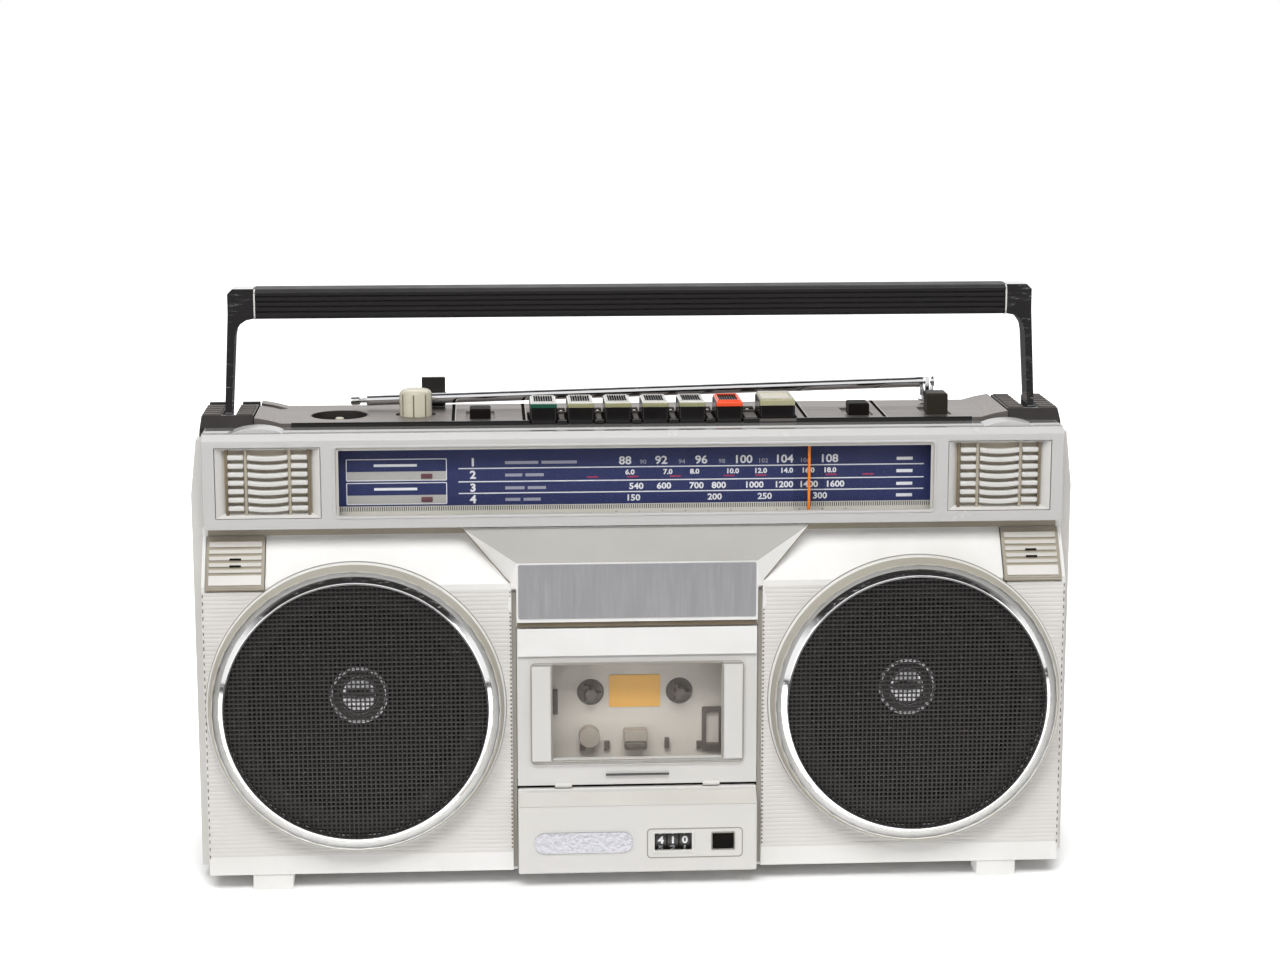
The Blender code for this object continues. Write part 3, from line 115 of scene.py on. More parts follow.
class RadioColours(bpy.types.PropertyGroup):
    """Colours of the main finishes."""

    silver: tint("Silver", "Silver cabinet", "#DDDCDA")
    pale: tint("Pale", "Pale cabinet pieces", "#C9C7C4")
    beige: tint("Beige", "Speaker collars and inner walls", "#A5A196")
    black: tint("Black", "Black mouldings", "#2A2726")
    cream: tint("Cream", "Volume knob", "#C2BCA9")
    deck: tint("Deck", "Brushed plate on the top", "#857F7B")
    chrome: tint("Chrome", "Plated metal and plated plastic", "#E4E4E6")
    plate: tint("Nameplate", "Bare nameplate over the tape door", "#9B9B9E")
    dial: tint("Dial", "Ground of the dial", "#262E5C")
    ink: tint("Ink", "Printed figures and lines", "#E9EAEC")
    pointer: tint("Pointer", "Tuning pointer", "#FF8A1F")
    first_key: tint("First Key", "Band of the first tape key", "#235443")
    middle_key: tint("Middle Keys", "Bands of the four middle tape keys", "#949370")
    last_key: tint("Last Key", "Band of the last tape key", "#EE5630")
    wide_key: tint("Wide Key", "Band and top of the wide key", "#A9A685")


# Materials


def add_node(tree, kind, settings=None, values=None, links=None):
    """One node with its settings, its socket values and the sockets that feed it."""
    made = tree.nodes.new(kind)
    for key, value in (settings or {}).items():
        setattr(made, key, value)
    for key, value in (values or {}).items():
        made.inputs[key].default_value = value
    for key, source in (links or {}).items():
        tree.links.new(source, made.inputs[key])
    return made


def finish(name, colour, roughness, metallic=0.0, ior=1.5):
    """A new material and the tree, shader and object coordinates that a pattern needs."""
    made = bpy.data.materials.new(name)
    made.use_nodes = True
    made.diffuse_color = (*colour, 1)
    tree = made.node_tree
    shader = tree.nodes["Principled BSDF"]
    shader.inputs["Base Color"].default_value = (*colour, 1)
    shader.inputs["Roughness"].default_value = roughness
    shader.inputs["Metallic"].default_value = metallic
    if not metallic:
        shader.inputs["IOR"].default_value = ior
    place = add_node(tree, "ShaderNodeTexCoord")
    return made, tree, shader, place.outputs["Object"]


def noise(tree, place, size, along=None, tall=None, detail=2.0):
    """Noise with features of that many millimetres, drawn out along X or up Z where given."""
    stretch = add_node(
        tree,
        "ShaderNodeMapping",
        values={"Scale": (1 / ((along or size) * mm), 1 / (size * mm), 1 / ((tall or size) * mm))},
        links={"Vector": place},
    )
    return add_node(
        tree,
        "ShaderNodeTexNoise",
        values={"Scale": 1.0, "Detail": detail},
        links={"Vector": stretch.outputs["Vector"]},
    ).outputs["Fac"]


def bump(tree, shader, height, distance, strength=1.0):
    """Lets a pattern lift the surface by that many millimetres."""
    lift = add_node(
        tree,
        "ShaderNodeBump",
        values={"Strength": strength, "Distance": distance * mm},
        links={"Height": height},
    )
    tree.links.new(lift.outputs["Normal"], shader.inputs["Normal"])


def ramp(tree, source, low, high, start, end):
    """A value that runs from start to end while source runs from low to high."""
    return add_node(
        tree,
        "ShaderNodeMapRange",
        values={"From Min": low, "From Max": high, "To Min": start, "To Max": end},
        links={"Value": source},
    ).outputs["Result"]


def stain(tree, shader, colour, other, source, low, high, most):
    """Turns the base colour towards another where the pattern is strong."""
    mixed = add_node(
        tree,
        "ShaderNodeMix",
        {"data_type": "RGBA"},
        {6: (*colour, 1), 7: (*other, 1)},
        {0: ramp(tree, source, low, high, 0.0, most)},
    )
    tree.links.new(mixed.outputs[2], shader.inputs["Base Color"])


def moulded(name, colour, roughness, grain=0.5, lift=0.015, dirt=None, most=0.35, ior=1.53):
    """Injection-moulded plastic: fine even grain, and broad faint staining where dirt is given."""
    made, tree, shader, place = finish(name, colour, roughness, ior=ior)
    bump(tree, shader, noise(tree, place, grain), lift)
    worn = noise(tree, place, 14.0, detail=4.0)
    tree.links.new(ramp(tree, worn, 0.3, 0.7, roughness - 0.05, roughness + 0.08), shader.inputs["Roughness"])
    if dirt:
        stain(tree, shader, colour, linear(dirt), noise(tree, place, 45.0, detail=5.0), 0.45, 0.8, most)
    return made


def plated(name, colour, roughness, scuff=0.25):
    """Chrome plating: near mirror, with short fine scuffs that spread its reflections."""
    made, tree, shader, place = finish(name, colour, roughness, metallic=1.0)
    marks = noise(tree, place, 1.2, 6.0, detail=6.0)
    tree.links.new(ramp(tree, marks, 0.52, 0.75, roughness, roughness + scuff), shader.inputs["Roughness"])
    return made


def brushed(name, colour, roughness, metallic, size=0.35, along=40.0, tall=None, streak="#6E6864", most=0.4):
    """Brushed metal: streaks 0.35 mm wide, drawn coarser than the real grit so that they show."""
    made, tree, shader, place = finish(name, colour, roughness, metallic=metallic)
    lines = noise(tree, place, size, along, tall, detail=3.0)
    stain(tree, shader, colour, linear(streak), lines, 0.45, 0.75, most)
    tree.links.new(ramp(tree, lines, 0.3, 0.7, roughness - 0.08, roughness + 0.12), shader.inputs["Roughness"])
    bump(tree, shader, lines, 0.01)
    return made


def clear(name, colour, roughness, thin=0.06, edge=0.35):
    """Clear acrylic or styrene sheet: nearly invisible face on, greyer and glossier at a grazing angle, where the grey
    is a painted reflection.
    """
    made, tree, shader, place = finish(name, colour, roughness, ior=1.49)
    grazing = add_node(tree, "ShaderNodeLayerWeight", values={"Blend": 0.3}).outputs["Facing"]
    tree.links.new(ramp(tree, grazing, 0.2, 0.9, thin, edge), shader.inputs["Alpha"])
    made.surface_render_method = "BLENDED"
    return made


def paint_chips(made_from):
    """Black paint over bright wire, with light spots that are partly paint worn off and partly painted glints of the
    wire.
    """
    made, tree, shader, place = finish(made_from, linear("#24201F"), 0.4)
    wear_and_glint_spots = noise(tree, place, 0.9, detail=2.0)
    stain(tree, shader, linear("#201C1B"), linear("#7A716A"), wear_and_glint_spots, 0.62, 0.8, 0.5)
    return made


def recipes():
    """Every finish of the radio by name."""
    colours = bpy.context.scene.radio_colours
    black = tuple(colours.black)
    chrome = tuple(colours.chrome)
    return {
        # Silver-filled ABS, moulded and left unpainted: soft sheen, slight yellowing
        "silver_abs_moulded": lambda n: moulded(n, tuple(colours.silver), 0.4, dirt="#B9B5A8"),
        # White-grey ABS for the door and trims: smoother and brighter than the cabinet
        "pale_abs_moulded": lambda n: moulded(n, tuple(colours.pale), 0.34, dirt="#CFCBC0", most=0.25),
        # Beige ABS of the collars: matt, dusty
        "beige_abs_moulded": lambda n: moulded(n, tuple(colours.beige), 0.5, dirt="#9A9280", most=0.5),
        # Silver-filled ABS from a polished tool: the bezel mirrors what stands on its ledge
        "silver_abs_polished": lambda n: moulded(n, linear("#BBBAB9"), 0.2, grain=2.0, lift=0.002,
                                                 dirt="#B3B1AC", most=0.2),
        # The ledge of the bezel is the glossiest part and the darkest silver
        "silver_abs_mirror": lambda n: moulded(n, linear("#6E6D6B"), 0.07, grain=2.0, lift=0.0005,
                                               dirt="#64625D", most=0.3, ior=1.7),
        # Ribbed speaker panels in a darker copy of the cabinet silver: painted shade, since the upright panels catch
        # less of the light from above than the sloping shoulders
        "silver_abs_ribbed": lambda n: moulded(n, linear("#CECBC8"), 0.45, dirt="#BFBAB0", most=0.4),
        # Bottom of narrow gaps, where nearly no light returns
        "gap_shadow_black": lambda n: moulded(n, linear("#1B1917"), 0.9, lift=0.0, ior=1.05),
        # The sloping hood: satin, and painted a shade darker than the shoulders for the bezel's shadow on it
        "hood_abs_satin": lambda n: moulded(n, linear("#A19F9A"), 0.42, dirt="#908E88", most=0.4),
        # Warm white ABS of the window liner and the small grilles' slats; the same darker grey on the counter panel's
        # slope is a painted dim reflection
        "warm_abs_moulded": lambda n: moulded(n, linear("#BBB8B2"), 0.4, dirt="#AAA69D", most=0.3),
        # Dust and tarnish in gaps and slots, and painted shade: the same colours stand for the shadow under the bezel
        # and in the hood's recess, and for dark lines in seams and creases
        "slot_dust_brown": lambda n: moulded(n, linear("#7B705E"), 0.85, lift=0.02, dirt="#4A4236", most=0.7,
                                             ior=1.2),
        "slot_dust_beige": lambda n: moulded(n, linear("#A79F90"), 0.8, lift=0.02, dirt="#857C6B", most=0.6,
                                             ior=1.2),
        # Grey lines laid along grooves and seams: painted shade in them
        "groove_line_grey": lambda n: moulded(n, linear("#96928A"), 0.7, lift=0.0, ior=1.2),
        # Black ABS with a satin tool finish: broad soft highlights
        "black_abs_satin": lambda n: moulded(n, black, 0.36, grain=0.3, dirt="#4A4542", most=0.3),
        # Black ABS polished in the tool, for key fronts
        "black_abs_gloss": lambda n: moulded(n, linear("#1A1818"), 0.16, lift=0.003),
        # Soft black vinyl of the grip: duller than the brackets
        "black_vinyl_extruded": lambda n: moulded(n, linear("#211F20"), 0.5, grain=0.6, lift=0.02,
                                                  ior=1.3),
        # Caps of the slide switches; the third one has gone brown
        "slider_abs_black": lambda n: moulded(n, linear("#171413"), 0.5, lift=0.01, ior=1.15),
        "slider_abs_browned": lambda n: moulded(n, linear("#2E2A24"), 0.5, lift=0.01, dirt="#4A4335", ior=1.2),
        # Ribbed tops of the handle brackets, grey partly from dust and partly as a painted sheen of the bright room
        # above them
        "bracket_ribs_dusty": lambda n: moulded(n, linear("#55504D"), 0.6, lift=0.02, dirt="#3C3836", ior=1.3),
        "roller_rubber_grey": lambda n: moulded(n, linear("#A69D91"), 0.6, lift=0.0),
        "knob_flute_brown": lambda n: moulded(n, linear("#7F7763"), 0.7, lift=0.0, ior=1.2),
        # Cream styrene of the knob: slightly waxy
        "cream_styrene_moulded": lambda n: moulded(n, tuple(colours.cream), 0.3, dirt="#A9A38C"),
        # Aluminium sheet brushed across the radio, lacquered warm grey
        "deck_aluminium_brushed": lambda n: brushed(n, tuple(colours.deck), 0.38, 0.75),
        # Plain aluminium foil plate, brushed and scuffed, with nothing printed on it
        "nameplate_aluminium_brushed": lambda n: brushed(
            n, tuple(colours.plate), 0.45, 0.3, 0.9, 0.9, 16.0, "#AEAEB2", 0.4
        ),
        # Chrome-plated plastic and steel: mirror with scuffs
        "chrome_plated": lambda n: plated(n, chrome, 0.07),
        # Chrome-plated ring: a little brighter and rougher than the other chrome, with the same scuffs
        "chrome_ring_worn": lambda n: plated(n, linear("#F2F2F2"), 0.08, 0.25),
        # Crumpled metallised film of the bare badge
        "foil_film": lambda n: foil(n),
        # Zinc-plated steel of screws and spindles
        "zinc_steel_turned": lambda n: plated(n, linear("#B9B6AE"), 0.28, 0.2),
        # Enamelled steel wire mesh
        "black_wire_enamelled": lambda n: paint_chips(n),
        # Pressed black paper pulp: fully matt with coarse fibres
        "paper_pulp_pressed": lambda n: moulded(n, linear("#1D1918"), 0.85, grain=1.2, lift=0.12),
        # Screen print on the dial and its ground
        "dial_ink_navy": lambda n: moulded(n, tuple(colours.dial), 0.6, lift=0.0, dirt="#2A2D48"),
        "dial_ink_white": lambda n: moulded(n, tuple(colours.ink), 0.4, lift=0.0),
        "dial_ink_grey": lambda n: moulded(n, linear("#B5B3AF"), 0.4, lift=0.0),
        "dial_strip_pale": lambda n: moulded(n, linear("#DDDAD0"), 0.5, lift=0.0, dirt="#B9B5A8", most=0.5),
        "dial_ink_dim": lambda n: moulded(n, linear("#9E9FAE"), 0.4, lift=0.0),
        "dial_ink_red": lambda n: moulded(n, linear("#A5365A"), 0.4, lift=0.0),
        "ink_dark": lambda n: moulded(n, linear("#3E3C3C"), 0.45, lift=0.0),
        # Maroon styrene lamp lens, unlit
        "lamp_lens_maroon": lambda n: moulded(n, linear("#6E4A50"), 0.2, lift=0.0),
        # Clear sheet over the dial and the tapes
        "acrylic_clear": lambda n: clear(n, linear("#3A3E4A"), 0.06, 0.04, 0.4),
        "styrene_clear": lambda n: clear(n, linear("#B9B4AC"), 0.08, 0.05, 0.35),
        # Orange acrylic pointer
        "acrylic_orange": lambda n: moulded(n, tuple(colours.pointer), 0.25, lift=0.0),
        # Gloss inserts of the keys
        "first_key_gloss": lambda n: moulded(n, tuple(colours.first_key), 0.22, lift=0.003),
        "middle_key_gloss": lambda n: moulded(n, tuple(colours.middle_key), 0.25, lift=0.003),
        "last_key_gloss": lambda n: moulded(n, tuple(colours.last_key), 0.22, lift=0.003),
        "wide_key_gloss": lambda n: moulded(n, tuple(colours.wide_key), 0.28, lift=0.003),
        # Tape well behind the window: painted steel plate
        "well_plate_painted": lambda n: moulded(n, linear("#E2DCD2"), 0.5, dirt="#BDB5A9", most=0.4),
        "orange_card": lambda n: moulded(n, linear("#FFC25C"), 0.5, lift=0.0),
        "hub_grey_moulded": lambda n: moulded(n, linear("#5E5550"), 0.4),
        # Phenolic circuit board and painted iron inside the case
        "phenolic_board": lambda n: moulded(n, linear("#8A5A2B"), 0.5),
        "iron_painted": lambda n: moulded(n, linear("#55524E"), 0.5),
    }


def foil(name):
    """Metallised film: creases a few millimetres wide that break up its reflections."""
    made, tree, shader, place = finish(name, linear("#B9B9BE"), 0.25, metallic=0.6)
    bump(tree, shader, noise(tree, place, 2.2, detail=4.0), 1.2)
    return made


def material(name):
    """A finish by name, made when it is first asked for."""
    found = bpy.data.materials.get(name)
    return found or recipes()[name](name)


# Shapes


def at(x, depth, z):
    """A point in the row frame from millimetres: across, behind the speaker panels, and up."""
    return Vector((x * mm, panel_y + depth * mm, z * mm))


def new_object(name, data):
    """An object for that mesh or curve, in the scene."""
    made = bpy.data.objects.new(name, data)
    bpy.context.collection.objects.link(made)
    return made


def smoothed(obj, angle=35):
    """Smooth shading that stops at sharper edges than that."""
    obj.data.shade_smooth()
    obj.data.set_sharp_from_angle(angle=math.radians(angle))
    return obj


def from_bmesh(name, bm, look, angle=35):
    """An object from a bmesh, with one finish."""
    bmesh.ops.recalc_face_normals(bm, faces=bm.faces)
    mesh = bpy.data.meshes.new(name)
    bm.to_mesh(mesh)
    bm.free()
    mesh.materials.append(material(look))
    return smoothed(new_object(name, mesh), angle)


def rounded(obj, width, segments=2, angle=30):
    """Rounds the sharp edges by that many millimetres and keeps flat faces flat."""
    obj.data.shade_smooth()
    sharp = obj.data.attributes.get("sharp_edge")
    if sharp:
        obj.data.attributes.remove(sharp)
    edges = obj.modifiers.new("Rounded Edges", "BEVEL")
    edges.width = width * mm
    edges.segments = segments
    edges.limit_method = "ANGLE"
    edges.angle_limit = math.radians(angle)
    edges.use_clamp_overlap = True
    flat = obj.modifiers.new("Flat Faces", "WEIGHTED_NORMAL")
    flat.keep_sharp = True
    return obj


def refined(node, look, width=0.4, segments=2, reshape=None):
    """A copy of a CAD node with merged faces, rounded edges and a finish; reshape may move its corners."""
    bm = bmesh.new()
    bm.from_mesh(nodes[node].data)
    bm.transform(nodes[node].matrix_world)
    for corner in bm.verts if reshape else ():
        corner.co = reshape(corner.co)
    bmesh.ops.remove_doubles(bm, verts=bm.verts, dist=0.005 * mm)
    bmesh.ops.dissolve_limit(
        bm, angle_limit=math.radians(0.5), use_dissolve_boundaries=False, verts=bm.verts, edges=bm.edges
    )
    mesh = bpy.data.meshes.new(node + "_finished")
    bm.to_mesh(mesh)
    bm.free()
    mesh.materials.append(material(look))
    return rounded(new_object(mesh.name, mesh), width, segments)


def loop_prism(name, outline, place, depth_from, depth_to, look, hole=None):
    """An outline, or the band between it and a hole with as many points, made thick."""
    bm = bmesh.new()
    ends = []
    for depth in (depth_from, depth_to):
        outer = [bm.verts.new(place(a, b, depth)) for a, b in outline]
        inner = [bm.verts.new(place(a, b, depth)) for a, b in hole or ()]
        ends.append((outer, inner))
    (outer_a, inner_a), (outer_b, inner_b) = ends
    total = len(outer_a)
    for first in range(total):
        second = (first + 1) % total
        bm.faces.new((outer_a[first], outer_a[second], outer_b[second], outer_b[first]))
        if hole:
            bm.faces.new((inner_a[second], inner_a[first], inner_b[first], inner_b[second]))
            bm.faces.new((outer_a[second], outer_a[first], inner_a[first], inner_a[second]))
            bm.faces.new((outer_b[first], outer_b[second], inner_b[second], inner_b[first]))
    if not hole:
        bm.faces.new(outer_a)
        bm.faces.new(outer_b)
    return from_bmesh(name, bm, look)


def facing(x, z, depth):
    """Place for outlines drawn on the front: across and up, thick in depth."""
    return at(x, depth, z)


def lying(x, depth, z):
    """Place for outlines drawn on the top: across and back, thick in height."""
    return at(x, depth, z)


def sideways(depth, z, x):
    """Place for outlines drawn from the side: back and up, thick across."""
    return at(x, depth, z)


def on_shoulder(x, up, out):
    """Place for outlines on the sloping shoulder: across, up the slope from its foot, out from its face."""
    return at(x, 0.555 * up - 0.832 * out, 147.0 + 0.832 * up + 0.555 * out)


def soft_rectangle(a0, a1, b0, b1, radius, steps=5):
    """Corner points of a rectangle with round corners."""
    points = []
    corners = ((a1 - radius, b1 - radius, 0), (a0 + radius, b1 - radius, 90),
               (a0 + radius, b0 + radius, 180), (a1 - radius, b0 + radius, 270))
    for middle_a, middle_b, turn in corners:
        for step in range(steps + 1):
            angle = math.radians(turn + 90 * step / steps)
            points.append((middle_a + radius * math.cos(angle), middle_b + radius * math.sin(angle)))
    return points


def block(name, low, high, look, width=0.3, segments=2):
    """A moulded block with rounded edges between two corners."""
    bm = bmesh.new()
    bmesh.ops.create_cube(bm, size=1.0)
    size = Vector(high) - Vector(low)
    middle = (Vector(high) + Vector(low)) / 2
    bm.transform(Matrix.Translation(middle) @ Matrix.Diagonal((*size, 1.0)))
    bmesh.ops.bevel(bm, geom=bm.edges, offset=width * mm, segments=segments, profile=0.5, affect="EDGES")
    made = from_bmesh(name, bm, look)
    flat = made.modifiers.new("Flat Faces", "WEIGHTED_NORMAL")
    flat.keep_sharp = True
    return made


def turned(name, profile, start, along, look, steps=96, closed=False, angle=35):
    """A profile of (radius, distance) in millimetres turned round an axis from start."""
    aim = Vector((0, 0, 1)).rotation_difference(Vector(along)).to_matrix()
    bm = bmesh.new()
    rows = []
    for radius, distance in profile:
        turns = steps if radius else 1
        row = []
        for step in range(turns):
            around = 2 * math.pi * step / steps
            local = Vector((radius * math.cos(around), radius * math.sin(around), distance)) * mm
            row.append(bm.verts.new(Vector(start) + aim @ local))
        rows.append(row)
    pairs = list(zip(rows, rows[1:]))
    if closed:
        pairs.append((rows[-1], rows[0]))
    for first, second in pairs:
        for step in range(steps):
            after = (step + 1) % steps
            corners = [first[step % len(first)], first[after % len(first)],
                       second[after % len(second)], second[step % len(second)]]
            bm.faces.new(list(dict.fromkeys(corners)))
    return from_bmesh(name, bm, look, angle)


def written(name, words, x, z, height, look, depth, bold=0.0):
    """Flat printed figures on the front, with capitals of that height."""
    curve = bpy.data.curves.new(name, "FONT")
    curve.body = words
    curve.align_x = "CENTER"
    curve.align_y = "CENTER"
    curve.size = height * mm / 0.72
    curve.extrude = 0.03 * mm
    curve.offset = bold * height * mm
    curve.resolution_u = 3
    line = new_object(name, curve)
    graph = bpy.context.evaluated_depsgraph_get()
    mesh = bpy.data.meshes.new_from_object(line.evaluated_get(graph))
    bpy.data.objects.remove(line)
    mesh.transform(
        Matrix.Translation(at(x, depth, z)) @ Matrix.Rotation(math.radians(90), 4, "X")
        @ Matrix.Diagonal((1.12, 1.0, 1.0, 1.0))
    )
    mesh.materials.clear()
    mesh.materials.append(material(look))
    return new_object(name, mesh)


def joined(name, parts):
    """One object from several, with each face keeping its finish."""
    bm = bmesh.new()
    looks = []
    for part in parts:
        graph = bpy.context.evaluated_depsgraph_get()
        mesh = bpy.data.meshes.new_from_object(part.evaluated_get(graph))
        before = len(bm.faces)
        bm.from_mesh(mesh)
        bm.faces.ensure_lookup_table()
        for face in bm.faces[before:]:
            look = mesh.materials[face.material_index]
            if look not in looks:
                looks.append(look)
            face.material_index = looks.index(look)
        bpy.data.objects.remove(part)
        bpy.data.meshes.remove(mesh)
    mesh = bpy.data.meshes.new(name)
    bm.to_mesh(mesh)
    bm.free()
    for look in looks:
        mesh.materials.append(look)
    return new_object(name, mesh)


def wear(obj, body, slot, *replaced):
    """Hangs a finished piece on its body and hides the CAD nodes it stands for; the slot is not used."""
    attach(obj, body)
    if replaced:
        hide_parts(*replaced)
    return obj


def sheet(name, corners_of_sheet, look, out=0.1, thick=0.4):
    """A thin plate on a sloping face, from its corners as (across, depth, up) in millimetres."""
    points = [at(*corner) for corner in corners_of_sheet]
    normal = (points[1] - points[0]).cross(points[2] - points[0]).normalized()
    if normal.y > 0:
        normal.negate()
    bm = bmesh.new()
    near = [bm.verts.new(point + normal * out * mm) for point in points]
    far = [bm.verts.new(point - normal * thick * mm) for point in points]
    bm.faces.new(near)
    bm.faces.new(far)
    for first in range(len(points)):
        second = (first + 1) % len(points)
        bm.faces.new((near[first], near[second], far[second], far[first]))
    return from_bmesh(name, bm, look)


# Geometry Nodes for what repeats


def new_tree(name, inputs):
    """A geometry tree with named inputs, and its input and output nodes."""
    tree = bpy.data.node_groups.new(name, "GeometryNodeTree")
    for label, kind, value in inputs:
        socket = tree.interface.new_socket(label, in_out="INPUT", socket_type="NodeSocket" + kind)
        if value is not None:
            socket.default_value = value
    tree.interface.new_socket("Geometry", in_out="OUTPUT", socket_type="NodeSocketGeometry")
    given = tree.nodes.new("NodeGroupInput").outputs
    out = tree.nodes.new("NodeGroupOutput").inputs["Geometry"]
    return tree, given, out


def sum_of(tree, operation, *terms):
    """A math node on sockets and numbers."""
    made = add_node(tree, "ShaderNodeMath", {"operation": operation})
    for index, term in enumerate(terms):
        if isinstance(term, bpy.types.NodeSocket):
            tree.links.new(term, made.inputs[index])
        else:
            made.inputs[index].default_value = term
    return made.outputs[0]


def vector_of(tree, x=0.0, y=0.0, z=0.0):
    """A vector from sockets and numbers."""
    made = add_node(tree, "ShaderNodeCombineXYZ")
    for label, term in (("X", x), ("Y", y), ("Z", z)):
        if isinstance(term, bpy.types.NodeSocket):
            tree.links.new(term, made.inputs[label])
        else:
            made.inputs[label].default_value = term
    return made.outputs["Vector"]


def unit_bar(tree, sides_socket):
    """A closed bar one metre long and one metre thick along X, with that many sides."""
    path = add_node(tree, "GeometryNodeCurvePrimitiveLine", values={"Start": (-0.5, 0, 0), "End": (0.5, 0, 0)})
    turn = add_node(
        tree, "GeometryNodeCurvePrimitiveCircle", values={"Radius": 0.5}, links={"Resolution": sides_socket}
    )
    level = add_node(
        tree,
        "GeometryNodeTransform",
        links={"Geometry": turn.outputs["Curve"]},
        values={"Rotation": (0, 0, math.radians(22.5))},
    )
    bar = add_node(
        tree,
        "GeometryNodeCurveToMesh",
        values={"Fill Caps": True},
        links={"Curve": path.outputs["Curve"], "Profile Curve": level.outputs["Geometry"]},
    )
    return bar.outputs["Mesh"]


def bars_tree():
    """Parallel bars in a row up Z, straight across X or cut to a round outline."""
    found = bpy.data.node_groups.get("Bars")
    if found:
        return found
    tree, given, out = new_tree("Bars", (
        ("Count", "Int", 5), ("Pitch", "Float", 0.002), ("Length", "Float", 0.01), ("Length Step", "Float", 0.0),
        ("Round Radius", "Float", 0.0), ("Thickness", "Float", 0.001), ("Rise", "Float", 0.001),
        ("Sides", "Int", 8), ("Turn", "Rotation", None), ("Centre", "Vector", None), ("Finish", "Material", None),
    ))
    first = sum_of(tree, "MULTIPLY", sum_of(tree, "SUBTRACT", given["Count"], 1), -0.5)
    first = sum_of(tree, "MULTIPLY", first, given["Pitch"])
    line = add_node(
        tree,
        "GeometryNodeMeshLine",
        links={
            "Count": given["Count"],
            "Start Location": vector_of(tree, z=first),
            "Offset": vector_of(tree, z=given["Pitch"]),
        },
    )
    index = add_node(tree, "GeometryNodeInputIndex").outputs[0]
    place = add_node(tree, "GeometryNodeInputPosition").outputs[0]
    height = add_node(tree, "ShaderNodeSeparateXYZ", links={"Vector": place}).outputs["Z"]
    square = sum_of(tree, "MULTIPLY", given["Round Radius"], given["Round Radius"])
    left = sum_of(tree, "SUBTRACT", square, sum_of(tree, "MULTIPLY", height, height))
    chord = sum_of(tree, "MULTIPLY", sum_of(tree, "SQRT", sum_of(tree, "MAXIMUM", left, 0.0)), 2.0)
    straight = sum_of(tree, "ADD", given["Length"], sum_of(tree, "MULTIPLY", index, given["Length Step"]))
    is_round = sum_of(tree, "GREATER_THAN", given["Round Radius"], 0.0)
    long = sum_of(tree, "ADD", sum_of(tree, "MULTIPLY", is_round, chord),
                  sum_of(tree, "MULTIPLY", sum_of(tree, "SUBTRACT", 1.0, is_round), straight))
    bars = add_node(
        tree,
        "GeometryNodeInstanceOnPoints",
        links={
            "Points": line.outputs["Mesh"],
            "Instance": unit_bar(tree, given["Sides"]),
            "Scale": vector_of(tree, long, given["Rise"], given["Thickness"]),
        },
    )
    plain = add_node(tree, "GeometryNodeRealizeInstances", links={"Geometry": bars.outputs["Instances"]})
    placed = add_node(
        tree,
        "GeometryNodeTransform",
        links={"Geometry": plain.outputs[0], "Rotation": given["Turn"], "Translation": given["Centre"]},
    )
    done = add_node(
        tree, "GeometryNodeSetMaterial", links={"Geometry": placed.outputs[0], "Material": given["Finish"]}
    )
    tree.links.new(done.outputs[0], out)
    return tree


def panel_ribs_tree():
    """Ribs across a speaker panel that stop at the round collar."""
    found = bpy.data.node_groups.get("Panel Ribs")
    if found:
        return found
    tree, given, out = new_tree("Panel Ribs", (
        ("Count", "Int", 65), ("Pitch", "Float", 0.002), ("First Height", "Float", 0.017),
        ("Left End", "Float", -0.2), ("Right End", "Float", -0.06), ("Collar Across", "Float", -0.13),
        ("Collar Height", "Float", 0.088), ("Collar Radius", "Float", 0.069), ("Panel Face", "Float", 0.0),
        ("Thickness", "Float", 0.0015), ("Rise", "Float", 0.0004), ("Finish", "Material", None),
    ))
    line = add_node(
        tree,
        "GeometryNodeMeshLine",
        links={
            "Count": given["Count"],
            "Start Location": vector_of(tree, y=given["Panel Face"], z=given["First Height"]),
            "Offset": vector_of(tree, z=given["Pitch"]),
        },
    )
    place = add_node(tree, "GeometryNodeInputPosition").outputs[0]
    height = add_node(tree, "ShaderNodeSeparateXYZ", links={"Vector": place}).outputs["Z"]
    away = sum_of(tree, "ABSOLUTE", sum_of(tree, "SUBTRACT", height, given["Collar Height"]))
    away = sum_of(tree, "ADD", away, sum_of(tree, "MULTIPLY", given["Pitch"], 0.5))
    left = sum_of(tree, "SUBTRACT", sum_of(tree, "MULTIPLY", given["Collar Radius"], given["Collar Radius"]),
                  sum_of(tree, "MULTIPLY", away, away))
    chord = sum_of(tree, "SQRT", sum_of(tree, "MAXIMUM", left, 0.0))
    near = sum_of(tree, "SUBTRACT", given["Collar Across"], chord)
    far = sum_of(tree, "ADD", given["Collar Across"], chord)
    eight = add_node(tree, "FunctionNodeInputInt", {"integer": 8}).outputs[0]
    bar = unit_bar(tree, eight)
    both = add_node(tree, "GeometryNodeJoinGeometry")
    for start, end in ((given["Left End"], near), (far, given["Right End"])):
        middle = sum_of(tree, "MULTIPLY", sum_of(tree, "ADD", start, end), 0.5)
        shifted = add_node(
            tree,
            "GeometryNodeSetPosition",
            links={"Geometry": line.outputs["Mesh"], "Offset": vector_of(tree, x=middle)},
        )
        span = sum_of(tree, "SUBTRACT", end, start)
        span = add_node(
            tree,
            "GeometryNodeInstanceOnPoints",
            links={
                "Points": shifted.outputs[0],
                "Instance": bar,
                "Scale": vector_of(tree, span, sum_of(tree, "MULTIPLY", given["Rise"], 2.0), given["Thickness"]),
            },
        )
        tree.links.new(span.outputs["Instances"], both.inputs[0])
    plain = add_node(tree, "GeometryNodeRealizeInstances", links={"Geometry": both.outputs[0]})
    done = add_node(
        tree, "GeometryNodeSetMaterial", links={"Geometry": plain.outputs[0], "Material": given["Finish"]}
    )
    tree.links.new(done.outputs[0], out)
    return tree


